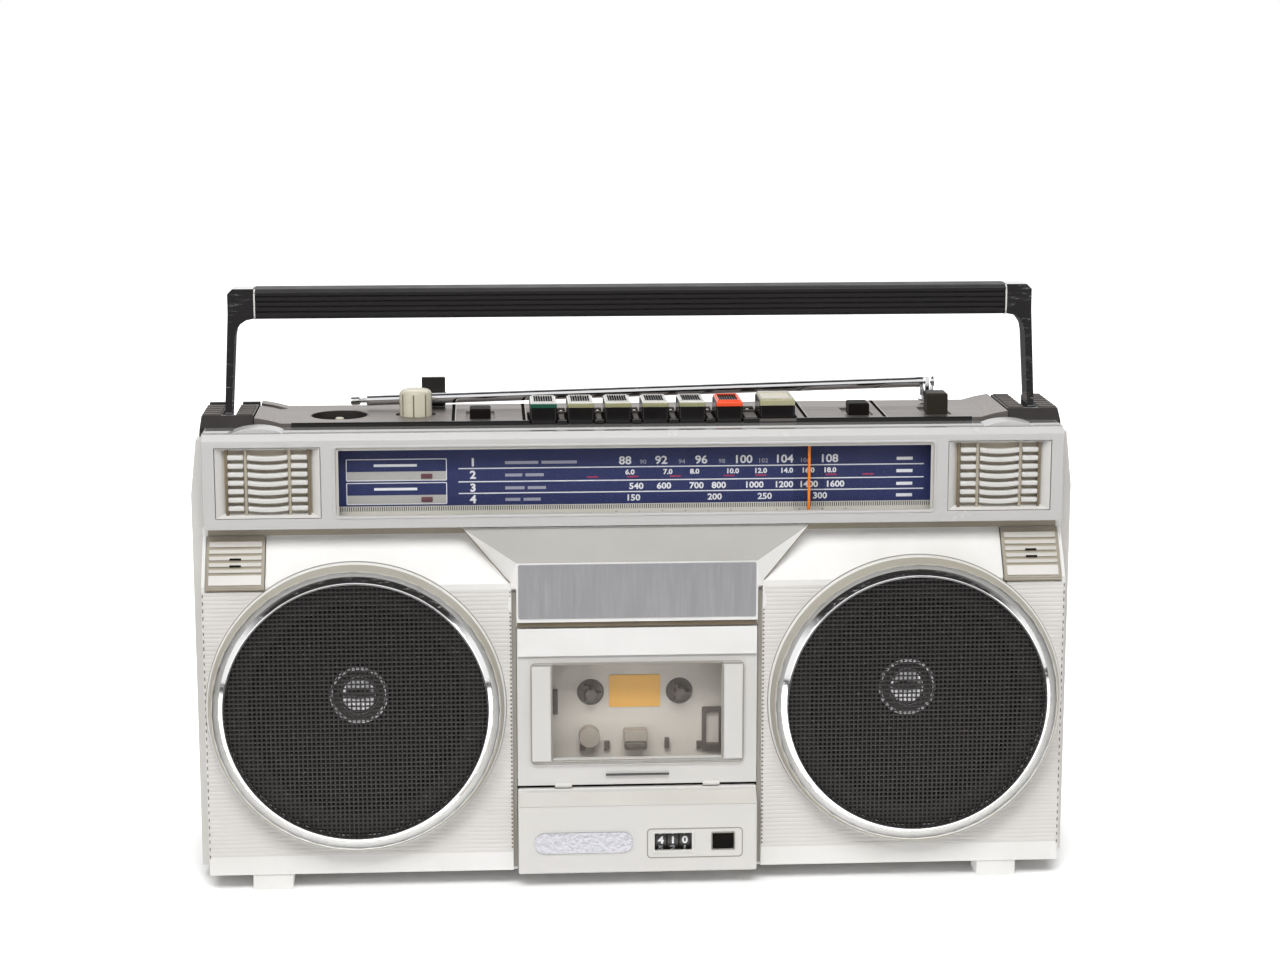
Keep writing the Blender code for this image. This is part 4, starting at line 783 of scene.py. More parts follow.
def slats_tree():
    """Slats above each other that may hang at their middle."""
    found = bpy.data.node_groups.get("Slats")
    if found:
        return found
    tree, given, out = new_tree("Slats", (
        ("Rows", "Int", 7), ("Pitch", "Float", 0.004), ("Width", "Float", 0.018), ("Height", "Float", 0.0023),
        ("Depth", "Float", 0.003), ("Sag", "Float", 0.0), ("Centre", "Vector", None), ("Finish", "Material", None),
    ))
    cube = add_node(
        tree,
        "GeometryNodeMeshCube",
        values={"Vertices X": 13, "Vertices Y": 2, "Vertices Z": 2},
        links={"Size": vector_of(tree, given["Width"], given["Depth"], given["Height"])},
    )
    place = add_node(tree, "GeometryNodeInputPosition").outputs[0]
    across = add_node(tree, "ShaderNodeSeparateXYZ", links={"Vector": place}).outputs["X"]
    share = sum_of(tree, "DIVIDE", across, sum_of(tree, "MULTIPLY", given["Width"], 0.5))
    drop = sum_of(tree, "SUBTRACT", sum_of(tree, "MULTIPLY", share, share), 1.0)
    drop = sum_of(tree, "MULTIPLY", drop, given["Sag"])
    hung = add_node(
        tree,
        "GeometryNodeSetPosition",
        links={"Geometry": cube.outputs["Mesh"], "Offset": vector_of(tree, z=drop)},
    )
    first = sum_of(tree, "MULTIPLY", sum_of(tree, "SUBTRACT", given["Rows"], 1), -0.5)
    first = sum_of(tree, "MULTIPLY", first, given["Pitch"])
    line = add_node(
        tree,
        "GeometryNodeMeshLine",
        links={
            "Count": given["Rows"],
            "Start Location": vector_of(tree, z=first),
            "Offset": vector_of(tree, z=given["Pitch"]),
        },
    )
    rows = add_node(
        tree,
        "GeometryNodeInstanceOnPoints",
        links={"Points": line.outputs["Mesh"], "Instance": hung.outputs["Geometry"]},
    )
    plain = add_node(tree, "GeometryNodeRealizeInstances", links={"Geometry": rows.outputs["Instances"]})
    placed = add_node(
        tree, "GeometryNodeTransform", links={"Geometry": plain.outputs[0], "Translation": given["Centre"]}
    )
    done = add_node(
        tree, "GeometryNodeSetMaterial", links={"Geometry": placed.outputs[0], "Material": given["Finish"]}
    )
    tree.links.new(done.outputs[0], out)
    return tree


def screws_tree():
    """Pan-head screws with a cross recess at the points of the mesh, facing along the turn."""
    found = bpy.data.node_groups.get("Screws")
    if found:
        return found
    tree, given, out = new_tree("Screws", (
        ("Points", "Geometry", None), ("Head Radius", "Float", 0.003), ("Head Height", "Float", 0.0015),
        ("Turn", "Rotation", None), ("Finish", "Material", None),
    ))
    head = add_node(
        tree,
        "GeometryNodeMeshCone",
        values={"Vertices": 32},
        links={
            "Radius Top": sum_of(tree, "MULTIPLY", given["Head Radius"], 0.78),
            "Radius Bottom": given["Head Radius"],
            "Depth": given["Head Height"],
        },
    )
    width = sum_of(tree, "MULTIPLY", given["Head Radius"], 0.22)
    reach = sum_of(tree, "MULTIPLY", given["Head Radius"], 1.1)
    deep = given["Head Height"]
    slots = add_node(tree, "GeometryNodeJoinGeometry")
    for size in ((reach, width), (width, reach)):
        slot = add_node(tree, "GeometryNodeMeshCube", links={"Size": vector_of(tree, *size, deep)})
        tree.links.new(slot.outputs["Mesh"], slots.inputs[0])
    raised = add_node(
        tree,
        "GeometryNodeTransform",
        links={"Geometry": slots.outputs[0], "Translation": vector_of(tree, z=deep)},
    )
    cut = add_node(
        tree,
        "GeometryNodeMeshBoolean",
        {"operation": "DIFFERENCE"},
        links={"Mesh 1": head.outputs["Mesh"], "Mesh 2": raised.outputs["Geometry"]},
    )
    heads = add_node(
        tree,
        "GeometryNodeInstanceOnPoints",
        links={"Points": given["Points"], "Instance": cut.outputs["Mesh"], "Rotation": given["Turn"]},
    )
    plain = add_node(tree, "GeometryNodeRealizeInstances", links={"Geometry": heads.outputs["Instances"]})
    done = add_node(
        tree, "GeometryNodeSetMaterial", links={"Geometry": plain.outputs[0], "Material": given["Finish"]}
    )
    tree.links.new(done.outputs[0], out)
    return tree


def grown(name, tree, values, points=(), angle=40):
    """The plain mesh that a tree makes from these input values."""
    mesh = bpy.data.meshes.new(name)
    mesh.from_pydata([tuple(point) for point in points], [], [])
    carrier = new_object(name, mesh)
    rule = carrier.modifiers.new("Repeat", "NODES")
    rule.node_group = tree
    for item in tree.interface.items_tree:
        if item.item_type == "SOCKET" and item.in_out == "INPUT" and item.name in values:
            rule[item.identifier] = values[item.name]
    graph = bpy.context.evaluated_depsgraph_get()
    made = bpy.data.meshes.new_from_object(carrier.evaluated_get(graph))
    carrier.modifiers.remove(rule)
    carrier.data = made
    return smoothed(carrier, angle)


def bars(name, number, pitch, long, thick, rise, centre, look, turn=(0, 0, 0), **more):
    """Parallel bars from millimetres, centred on a point."""
    values = {
        "Count": number,
        "Pitch": pitch * mm,
        "Length": long * mm,
        "Thickness": thick * mm,
        "Rise": rise * mm,
        "Turn": tuple(math.radians(part) for part in turn),
        "Centre": tuple(centre),
        "Finish": material(look),
    }
    values.update(more)
    return grown(name, bars_tree(), values)


# Operators, one for each group of pieces


class RadioCabinet(bpy.types.Operator):
    """Front and rear shells, the dial bezel, ribs and collars"""

    bl_idname = "radio.cabinet"
    bl_label = "Cabinet"

    def execute(self, context):
        sizes = context.scene.radio_sizes

        def narrower_hood(point):
            """Pulls the foot of the hood's sides in, so that they run straight down to the columns."""
            for across, up, narrow in ((69.2, 150.9, 62.3), (61.2, 147.0, 59.2)):
                if abs(abs(point.x) - across * mm) < 0.3 * mm and abs(point.z - up * mm) < 0.3 * mm:
                    point.x = math.copysign(narrow * mm, point.x)
            return point

        def flatter_bosses(point):
            """Lowers the two half-moon bosses on the ledge."""
            if point.z > 217.6 * mm:
                point.z = 217.5 * mm + (point.z - 217.5 * mm) * 0.45
            return point

        shell_piece = refined("front_cabinet", "silver_abs_moulded", 0.45, reshape=narrower_hood)
        wear(shell_piece, "case", "silver_plastic", "front_cabinet")
        wear(refined("rear_cabinet", "pale_abs_moulded", 0.6), "case", "silver_plastic", "rear_cabinet")
        bezel_piece = refined("dial_bezel", "silver_abs_polished", 0.6, reshape=flatter_bosses)
        wear(bezel_piece, "case", "silver_plastic", "dial_bezel")
        ledge = loop_prism(
            "bezel_ledge", [(7.2, 217.3), (7.2, 217.56), (12.9, 217.9), (13.2, 218.1), (13.6, 218.1), (13.9, 217.75),
                            (24.7, 217.65), (24.7, 217.3)], sideways, -199.8, 199.8, "silver_abs_mirror",
        )
        wear(ledge, "case", "silver_plastic")
        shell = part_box("front_cabinet")
        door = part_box("cassette_door")
        inner = door[1].x + 2.6 * mm
        outer = shell[1].x - 0.4 * mm
        for side, sign in sides:
            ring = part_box("speaker_ring_" + side)
            across = (ring[0].x + ring[1].x) / 2
            up = (ring[0].z + ring[1].z) / 2
            ends = sorted((sign * inner, sign * outer))
            # The ribs lay the shaded silver over the speaker panels, painted darker than the shoulders
            ribs = grown("panel_ribs_" + side, panel_ribs_tree(), {
                "Count": round(129 * mm / sizes.rib_pitch),
                "Pitch": sizes.rib_pitch,
                "First Height": 17.6 * mm,
                "Left End": ends[0],
                "Right End": ends[1],
                "Collar Across": across,
                "Collar Height": up,
                "Collar Radius": 69.6 * mm,
                "Panel Face": panel_y,
                "Thickness": sizes.rib_width,
                "Rise": sizes.rib_rise,
                "Finish": material("silver_abs_ribbed"),
            }, angle=60)
            wear(ribs, "case", "silver_plastic")
            # Painted shade: short dark bars along each panel's inner and outer edges, in the seams there
            notches = [
                bars("inner", 63, sizes.rib_pitch / mm, 0.8, 0.9, 0.3, at(sign * 59.3, -0.15, 81.0), "slot_dust_brown"),
                bars("outer", 36, 3.6, 0.5, 1.9, 0.3, at(sign * 201.5, -0.1, 80.0), "slot_dust_brown"),
            ]
            wear(joined("panel_edge_shade_" + side, notches), "case", "silver_plastic")
            # Painted shade: a grey strip at the bottom of each column groove
            strip = block("column_groove_shade_" + side, at(sign * 57.65 - 0.9, 1.1, 9.0), at(sign * 57.65 + 0.9, 1.7, 143.0),
                          "groove_line_grey", 0.02, 1)
            wear(strip, "case", "silver_plastic")
            centre = Vector((across, panel_y, up))
            lip = turned("collar_lip_" + side, [
                (69.0, 1.0), (69.7, 0.6), (69.7, -1.9), (69.45, -2.35), (69.0, -2.5), (68.0, -2.5), (67.0, 1.0),
            ], centre, (0, 1, 0), "silver_abs_moulded", 144, closed=True)
            wear(lip, "case", "silver_plastic")
            seam = turned("collar_seam_" + side, [(69.6, 0.4), (70.1, 0.4), (70.1, -0.32), (69.6, -0.32)], centre,
                          (0, 1, 0), "groove_line_grey", 144, closed=True)
            wear(seam, "case", "silver_plastic")
            wall = turned("collar_wall_" + side, [
                (69.0, -2.0), (69.0, -2.6), (68.3, -4.4), (67.7, -7.4), (67.4, -8.2), (66.75, -8.3),
                (66.7, -2.0),
            ], centre, (0, 1, 0), "beige_abs_moulded", 144, closed=True)
            wear(wall, "case", "beige_plastic")
        trim = loop_prism(
            "window_trim", soft_rectangle(-140.5, 140.5, 177.5, 212.1, 2.2), facing, 4.5, 5.6,
            "silver_abs_polished", soft_rectangle(-139.3, 139.3, 178.7, 210.9, 1.4),
        )
        wear(rounded(trim, 0.35), "case", "pale_plastic")
        liner = loop_prism(
            "window_liner", soft_rectangle(-139.25, 139.25, 178.65, 210.95, 1.0), facing, 5.5, 6.3,
            "warm_abs_moulded", soft_rectangle(-138.0, 138.0, 179.1, 209.6, 0.5),
        )
        wear(liner, "case", "black_plastic")
        # Painted shadow: a dusky strip in the recess under the bezel's lower edge, where the overhang shades it
        gap = block("bezel_shadow_strip", at(-199.5, 13.6, 168.4), at(199.5, 14.6, 172.6), "slot_dust_beige", 0.1, 1)
        wear(gap, "case", "silver_plastic")
        # Painted shade: a darker grey sheet on the sloping hood stands for the bezel's shadow
        slope = ((-56.3, -1.5, 157.0), (56.3, -1.5, 157.0), (81.0, 6.4, 172.0), (-81.0, 6.4, 172.0))
        wear(sheet("hood_slope", slope, "hood_abs_satin"), "case", "silver_plastic")
        # Painted shade: thin dark lines down the edges of the hood's side facets, along the creases
        lines = []
        for sign in (-1, 1):
            first = at(sign * 81.3, 6.5, 172.2)
            last = at(sign * 59.4, -0.05, 147.3)
            long = (last - first).length / mm
            lines.append(turned("line", [(0, 0), (0.22, 0), (0.22, long), (0, long)], first, last - first,
                                "slot_dust_brown", 8))
        wear(joined("hood_crease_shade", lines), "case", "silver_plastic")
        # Painted shade: a dark strip in the recess between the hood and the tape door
        gap = block("hood_shadow_strip", at(-56.2, -0.15, 126.0), at(56.2, 0.4, 128.4), "slot_dust_brown", 0.03, 1)
        wear(gap, "case", "silver_plastic")
        return {"FINISHED"}


class RadioSpeakers(bpy.types.Operator):
    """Chrome rings, wire mesh, frames, cones and domes"""

    bl_idname = "radio.speakers"
    bl_label = "Speakers"

    def execute(self, context):
        sizes = context.scene.radio_sizes
        for side, sign in sides:
            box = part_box("speaker_ring_" + side)
            centre = Vector(((box[0].x + box[1].x) / 2, box[0].y, (box[0].z + box[1].z) / 2))
            ring = turned("speaker_ring_chrome_" + side, [
                (66.35, 5.15), (66.35, 3.5), (66.2, 3.1), (62.0, 0.35), (61.8, 0.1), (61.5, 0.0), (61.1, 0.1),
                (60.9, 0.6), (60.75, 1.2), (60.7, 3.8), (61.6, 4.2), (62.6, 5.15),
            ], centre, (0, 1, 0), "chrome_ring_worn", 160, closed=True, angle=50)
            wear(ring, "case", "chrome_plate", "speaker_ring_" + side)
            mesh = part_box("speaker_grille_" + side)
            middle = (mesh[0] + mesh[1]) / 2
            wires = []
            count = int(2 * 62.2 * mm / sizes.wire_pitch)
            for direction, turn, lift in (("level", (0, 0, 0), -0.12), ("upright", (0, 90, 0), 0.12)):
                wires.append(bars(
                    "wires_" + direction, count, sizes.wire_pitch / mm, 1.0, sizes.wire_width / mm,
                    sizes.wire_width / mm * 0.7, middle + Vector((0, lift * mm, 0)), "black_wire_enamelled",
                    turn, **{"Round Radius": 62.3 * mm, "Sides": 8},
                ))
            rim = turned("wire_rim", [(62.4, -0.4), (62.4, 0.4), (61.2, 0.4), (61.2, -0.4)], middle, (0, 1, 0),
                         "black_wire_enamelled", 96, closed=True)
            wear(joined("speaker_mesh_" + side, wires + [rim]), "case", "black_plastic", "speaker_grille_" + side)
            # A black ring behind the mesh covers the cone frame's edge and the cabinet's bore, so that both show dark
            dark_ring = turned("dark_ring_behind_mesh_" + side, [(50.4, 0.0), (60.6, 0.0), (60.6, 0.5), (50.4, 0.5)],
                          Vector((centre.x, mesh[1].y + 0.1 * mm, centre.z)), (0, 1, 0), "paper_pulp_pressed",
                          96, closed=True)
            wear(dark_ring, "case", "black_plastic")
            wear(refined("woofer_frame_" + side, "paper_pulp_pressed", 0.2), "case", "plain_steel",
                 "woofer_frame_" + side)
            cone_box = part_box("woofer_cone_" + side)
            cone = turned("woofer_cone_paper_" + side, [
                (49.4, 0.9), (49.4, 0.1), (48.2, -0.2), (46.4, -1.0), (44.6, -0.2), (43.2, 0.6), (38.0, 3.6),
                (30.0, 8.8), (22.0, 13.8), (13.0, 19.0), (11.2, 20.2), (11.2, 21.0), (13.0, 20.0), (22.0, 14.8),
                (30.0, 9.8), (38.0, 4.6), (43.0, 1.6), (46.4, 0.9),
            ], Vector((centre.x, cone_box[0].y + 1.0 * mm, centre.z)), (0, 1, 0), "paper_pulp_pressed", 96,
                closed=True)
            wear(cone, "case", "paper_cone", "woofer_cone_" + side)
            dome_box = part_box("woofer_dome_" + side)
            start = Vector((centre.x, dome_box[0].y, centre.z))
            reach = (dome_box[1].y - dome_box[0].y) / mm
            cap = [(9.4 * math.sin(math.radians(a)), 0.9 - 0.9 * math.cos(math.radians(a)) + 2.6 * (a / 90) ** 2)
                   for a in range(0, 91, 6)]
            dome = turned("dome_cap_" + side, cap + [(9.4, reach), (0, reach)], start, (0, 1, 0),
                          "chrome_plated", 64, angle=50)
            skirt = turned("dome_skirt_" + side, [(9.2, 3.3), (13.0, reach * 0.7), (13.0, reach), (9.2, reach)],
                           start, (0, 1, 0), "black_abs_satin", 64, closed=True)
            rim = turned("dome_rim_" + side, [
                (13.2 + 1.2 * math.cos(math.radians(a)), reach * 0.7 + 1.2 * math.sin(math.radians(a)))
                for a in range(0, 360, 36)
            ], start, (0, 1, 0), "chrome_plated", 64, closed=True, angle=60)
            for part in (dome, skirt, rim):
                wear(part, "case", "chrome_plate")
            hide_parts("woofer_dome_" + side)
        return {"FINISHED"}


class RadioLouvres(bpy.types.Operator):
    """Slatted grilles beside the dial and the small grilles on the shoulders"""

    bl_idname = "radio.louvres"
    bl_label = "Louvres"

    def execute(self, context):
        sizes = context.scene.radio_sizes
        for side, sign in sides:
            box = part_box("tweeter_grille_" + side)
            centre = (box[0] + box[1]) / 2
            front = (box[0].y - panel_y) / mm
            across = centre.x / mm
            parts = []
            for middle, width, sag in ((-14.7, 7.3, 0.0), (0.0, 18.6, sizes.slat_sag), (14.5, 7.5, 0.0)):
                parts.append(grown("slats", slats_tree(), {
                    "Rows": sizes.slat_rows,
                    "Pitch": sizes.slat_pitch,
                    "Width": width * mm,
                    "Height": sizes.slat_height,
                    "Depth": 3.4 * mm,
                    "Sag": sag,
                    "Centre": tuple(at(across + middle, front + 1.9, 194.7)),
                    "Finish": material("pale_abs_moulded"),
                }, angle=30))
            slats = rounded(joined("louvre_slats_" + side, parts), 0.45, 2)
            wear(slats, "case", "silver_plastic", "tweeter_grille_" + side)
            low = box[0] / mm
            high = box[1] / mm
            mouth = [(low.x, low.z), (high.x, low.z), (high.x, high.z), (low.x, high.z)]
            back = loop_prism("louvre_back_" + side, mouth, facing, front + 3.0, front + 3.9, "slot_dust_beige")
            wear(back, "case", "beige_plastic")
            throat = [(across - 19.6, 180.4), (across + 19.6, 180.4), (across + 19.6, 209.4), (across - 19.6, 209.4)]
            bm = bmesh.new()
            rims = [[bm.verts.new(at(a, depth, b)) for a, b in loop]
                    for loop, depth in ((mouth, front - 0.4), (throat, front + 3.6), (mouth, front + 3.6))]
            for one, other in ((0, 1), (1, 2), (2, 0)):
                for first in range(4):
                    second = (first + 1) % 4
                    bm.faces.new((rims[one][first], rims[one][second], rims[other][second], rims[other][first]))
            wear(from_bmesh("louvre_funnel_" + side, bm, "pale_abs_moulded"), "case", "pale_plastic")
            posts = []
            for middle in (-18.9, -10.2, 9.95, 18.9):
                posts.append(block(
                    "post", at(across + middle - 0.7, front + 1.6, 179.0), at(across + middle + 0.7, front + 5.4, 210.6),
                    "slot_dust_brown" if abs(middle) > 15 else "slot_dust_beige", 0.2,
                ))
            wear(joined("louvre_posts_" + side, posts), "case", "beige_plastic")
            wear(refined("mic_grille_" + side, "slot_dust_beige", 0.25), "case", "silver_plastic",
                 "mic_grille_" + side)
            middle = sign * 186.4
            parts = [
                loop_prism("bed", soft_rectangle(middle - 13.4, middle + 13.4, -0.6, 24.9, 0.4), on_shoulder,
                           0.6, 0.95, "slot_dust_beige"),
                loop_prism("edge", soft_rectangle(middle - 13.6, middle + 13.6, -0.9, 25.2, 0.6), on_shoulder,
                           0.5, 1.1, "groove_line_grey",
                           soft_rectangle(middle - 13.1, middle + 13.1, -0.4, 24.7, 0.3)),
            ]
            for high_share, low_share in ((0.12, 0.23), (0.28, 0.36), (0.41, 0.49), (0.54, 0.62), (0.67, 0.74),
                                          (0.79, 0.985)):
                slat = loop_prism(
                    "slat", soft_rectangle(middle - 12.2, middle + 12.2, 25.2 * (1 - low_share),
                                           25.2 * (1 - high_share), 0.3), on_shoulder, 0.8, 1.7, "silver_abs_ribbed" if low_share > 0.9 else "warm_abs_moulded",
                )
                parts.append(rounded(slat, 0.25))
            for share in (0.475, 0.61):
                parts.append(loop_prism(
                    "slot", soft_rectangle(middle - 2.7, middle + 2.7, 25.2 * (1 - share) - 0.45,
                                           25.2 * (1 - share) + 0.45, 0.2), on_shoulder, 1.5, 1.76, "gap_shadow_black",
                ))
            wear(joined("mic_slats_" + side, parts), "case", "silver_plastic")
        return {"FINISHED"}


class RadioDial(bpy.types.Operator):
    """Dial plate with its scales, lamps, pointer and window"""

    bl_idname = "radio.dial"
    bl_label = "Dial"

    def execute(self, context):
        sizes = context.scene.radio_sizes
        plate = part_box("dial_plate")
        front = (plate[0].y - panel_y) / mm
        low, high = plate
        ground = loop_prism("dial_ground", soft_rectangle(low.x / mm, high.x / mm, low.z / mm, high.z / mm, 0.4),
                            facing, front, front + 1.0, "dial_ink_navy")
        wear(ground, "case", "printed_scale", "dial_plate")
        print_at = front - 0.04
        strip = loop_prism("dial_strip", soft_rectangle(-143.8, 143.8, 176.2, 181.7, 0.3), facing, front - 0.08,
                           front + 0.2, "dial_strip_pale")
        wear(strip, "case", "printed_scale")
        white = []
        for z in (199.2, 192.9, 187.4):
            white.append(block("line", at(-82.7, print_at - 0.03, z - 0.25), at(135.9, print_at + 0.1, z + 0.25),
                               "dial_ink_white", 0.01, 1))
        for z0, z1 in ((193.7, 204.1), (182.5, 192.9)):
            white.append(loop_prism(
                "box", soft_rectangle(-134.9, -88.1, z0, z1, 0.5, 2), facing, print_at - 0.03, print_at + 0.1,
                "dial_ink_white", soft_rectangle(-134.5, -88.5, z0 + 0.4, z1 - 0.4, 0.3, 2),
            ))
            white.append(block("bar", at(-134.5, print_at - 0.02, z0 + 0.4), at(-88.5, print_at + 0.1, z0 + 4.4),
                               "dial_ink_grey", 0.01, 1))
            white.append(block("title", at(-122.0, print_at - 0.02, z0 + 6.7), at(-102.0, print_at + 0.1, z0 + 7.9),
                               "dial_ink_white", 0.01, 1))
        rows = (
            (202.1, 3.8, 0.03, "dial_ink_white",
             (("88", -4.9), ("92", 12.0), ("96", 30.8), ("100", 50.5), ("104", 69.8), ("108", 91.0))),
            (201.4, 2.1, 0.015, "dial_ink_dim", (("90", 3.5), ("94", 21.7), ("98", 40.5), ("102", 59.9), ("106", 79.6))),
            (196.6, 2.3, 0.05, "dial_ink_white",
             (("6.0", -2.7), ("7.0", 15.1), ("8.0", 27.7), ("10.0", 45.5), ("12.0", 58.7), ("14.0", 71.0),
              ("16.0", 81.1), ("18.0", 91.4))),
            (189.9, 2.9, 0.04, "dial_ink_white",
             (("540", 0.3), ("600", 13.3), ("700", 28.6), ("800", 39.1), ("1000", 55.7), ("1200", 69.7),
              ("1400", 81.4), ("1600", 93.9))),
            (184.4, 2.9, 0.04, "dial_ink_white", (("150", -1.2), ("200", 37.2), ("250", 60.8), ("300", 86.9))),
        )
        for z, height, bold, look, figures in rows:
            for words, x in figures:
                white.append(written("figure", words, x, z, height, look, print_at, bold))
        labels = ((201.9, "1", 15.5, 16.5), (196.0, "2", 8.0, 8.5), (189.9, "3", 9.0, 8.5), (184.4, "4", 7.0, 8.0))
        for z, words, first_long, second_long in labels:
            white.append(written("band", words, -76.0, z, 3.7, "dial_ink_white", print_at, 0.05))
            start = -61.0
            for long in (first_long, second_long):
                white.append(block("name", at(start, print_at - 0.02, z - 0.8), at(start + long, print_at + 0.1, z + 0.6),
                                   "dial_ink_dim", 0.01, 1))
                start += long + 1.5
            white.append(block("unit", at(123.0, print_at - 0.02, z - 0.8), at(130.6, print_at + 0.1, z + 0.7),
                               "dial_ink_white", 0.01, 1))
        for x in (-20.2, -1.4, 18.6, 43.9, 58.8, 92.0, 109.6):
            white.append(block("mark", at(x - 2.6, print_at - 0.02, 194.2), at(x + 2.6, print_at + 0.1, 194.9),
                               "dial_ink_red", 0.01, 1))
        for number in range(11):
            white.append(written("log", str(number), -9.1 + 10.8 * number, 177.6, 1.3, "ink_dark", front - 0.12))
        wear(joined("dial_print", white), "case", "printed_scale")
        marks = bars("marks", 275, sizes.tick_pitch / mm, 2.0, 0.46, 0.06, at(0, front - 0.08, 180.4), "ink_dark",
                     (0, 90, 0))
        wear(joined("dial_marks", [marks]), "case", "printed_scale")
        for name, z in (("upper", 195.8), ("lower", 184.8)):
            lens = block("lamp_lens_" + name, at(-100.2, front - 0.7, z - 1.2), at(-94.8, front + 0.2, z + 1.2),
                         "lamp_lens_maroon", 0.4)
            wear(lens, "case", "pointer_plastic")
        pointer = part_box("dial_pointer")
        near = (pointer[0].y - panel_y) / mm
        far = (pointer[1].y - panel_y) / mm
        left = pointer[0].x / mm
        right = pointer[1].x / mm
        carriage = block("pointer_carriage", at(left, near, pointer[0].z / mm), at(right, far, pointer[1].z / mm),
                         "acrylic_clear", 0.3)
        wear(carriage, "pointer", "clear_plastic", "dial_pointer")
        stick = block("pointer_stick", at((left + right) / 2 - 0.6, near - 0.15, pointer[0].z / mm + 0.6),
                      at((left + right) / 2 + 0.6, far - 0.2, pointer[1].z / mm - 0.6), "acrylic_orange", 0.2)
        wear(stick, "pointer", "pointer_plastic")
        wear(refined("dial_window", "acrylic_clear", 0.2), "case", "clear_plastic", "dial_window")
        return {"FINISHED"}


class RadioTapeDeck(bpy.types.Operator):
    """Hood with its bare nameplate, tape door, window and the parts behind it"""

    bl_idname = "radio.tape_deck"
    bl_label = "Tape Deck"

    def execute(self, context):
        plate = loop_prism("nameplate", soft_rectangle(-55.6, 55.6, 130.3, 156.2, 0.9), facing, -1.95, -1.2,
                           "nameplate_aluminium_brushed")
        wear(rounded(plate, 0.25), "case", "brushed_plate")
        wear(refined("cassette_door", "pale_abs_moulded", 0.5), "tape_door", "pale_plastic", "cassette_door")
        face = (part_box("cassette_door")[0].y - panel_y) / mm
        band = block("door_band", at(-56.2, face - 0.07, 112.2), at(56.2, face + 0.3, 125.4), "silver_abs_moulded", 0.05, 1)
        wear(band, "tape_door", "pale_plastic")
        wings = [block("wing", at(sign * 45.2 - 4.4, face - 0.2, 61.2), at(sign * 45.2 + 4.4, face + 0.3, 107.2),
                       "pale_abs_moulded", 0.15) for side, sign in sides]
        wear(joined("door_wings", wings), "tape_door", "pale_plastic")
        groove = loop_prism(
            "door_groove", soft_rectangle(-50.2, 50.2, 59.4, 108.9, 2.4), facing, face - 0.06, face + 0.2,
            "groove_line_grey",
            soft_rectangle(-49.75, 49.75, 59.85, 108.45, 2.0),
        )
        wear(groove, "tape_door", "beige_plastic")
        rim = loop_prism(
            "door_rim", soft_rectangle(-40.5, 40.5, 61.1, 108.4, 0.8), facing, face - 0.05, face + 0.4,
            "groove_line_grey",
            soft_rectangle(-40.0, 40.0, 61.6, 107.9, 0.4),
        )
        wear(rim, "tape_door", "beige_plastic")
        title = block("door_bar", at(-15.0, face - 0.06, 53.6), at(15.0, face + 0.1, 54.7), "ink_dark", 0.02, 1)
        wear(title, "tape_door", "black_plastic")
        wear(refined("door_window", "styrene_clear", 0.2), "tape_door", "clear_plastic", "door_window")
        wear(refined("deck_plate", "well_plate_painted", 0.2), "case", "plain_steel", "deck_plate")
        deck = (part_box("deck_plate")[0].y - panel_y) / mm
        card = loop_prism("tape_guide", soft_rectangle(-12.4, 12.0, 81.4, 97.1, 0.8), facing, deck - 0.5, deck + 0.2,
                          "orange_card")
        wear(card, "case", "beige_plastic")
        lever = loop_prism(
            "record_guard", soft_rectangle(32.1, 42.1, 59.8, 80.8, 0.8), facing, deck - 2.2, deck + 0.2,
            "hub_grey_moulded", soft_rectangle(34.0, 40.2, 63.0, 78.5, 0.5),
        )
        wear(rounded(lever, 0.2), "case", "black_plastic")
        catch = block("tape_catch", at(-39.2, deck - 2.0, 78.5), at(-36.9, deck + 0.2, 90.5), "hub_grey_moulded")
        wear(catch, "case", "black_plastic")
        for node, body in (("supply_spindle", "supply"), ("take_up_spindle", "take_up")):
            wear(refined(node, "hub_grey_moulded", 0.25), body, "black_plastic", node)
        bits = []
        for x0, x1, z0, z1, deep in ((-26.5, -24.0, 60.4, 65.6, 3.0), (-14.8, -12.2, 60.6, 64.8, 2.0),
                                     (14.2, 16.4, 61.0, 66.0, 2.4), (29.5, 32.0, 60.2, 64.0, 1.6)):
            bits.append(block("bit", at(x0, deck - deep, z0), at(x1, deck + 0.2, z1), "hub_grey_moulded", 0.3))
        wear(joined("tape_guides", bits), "case", "black_plastic")
        wear(refined("pinch_roller", "roller_rubber_grey", 0.3), "roller", "black_plastic", "pinch_roller")
        head = [refined("tape_head", "roller_rubber_grey", 0.4)]
        head.append(loop_prism("rim", soft_rectangle(-5.4, 5.4, 62.0, 66.4, 1.2), facing, deck - 7.4, deck - 6.0,
                               "hub_grey_moulded", soft_rectangle(-4.3, 4.3, 63.1, 65.4, 0.5)))
        wear(joined("tape_head_finished", head), "case", "plain_steel", "tape_head")
        wear(refined("tape_motor", "zinc_steel_turned", 0.5), "case", "plain_steel", "tape_motor")
        return {"FINISHED"}


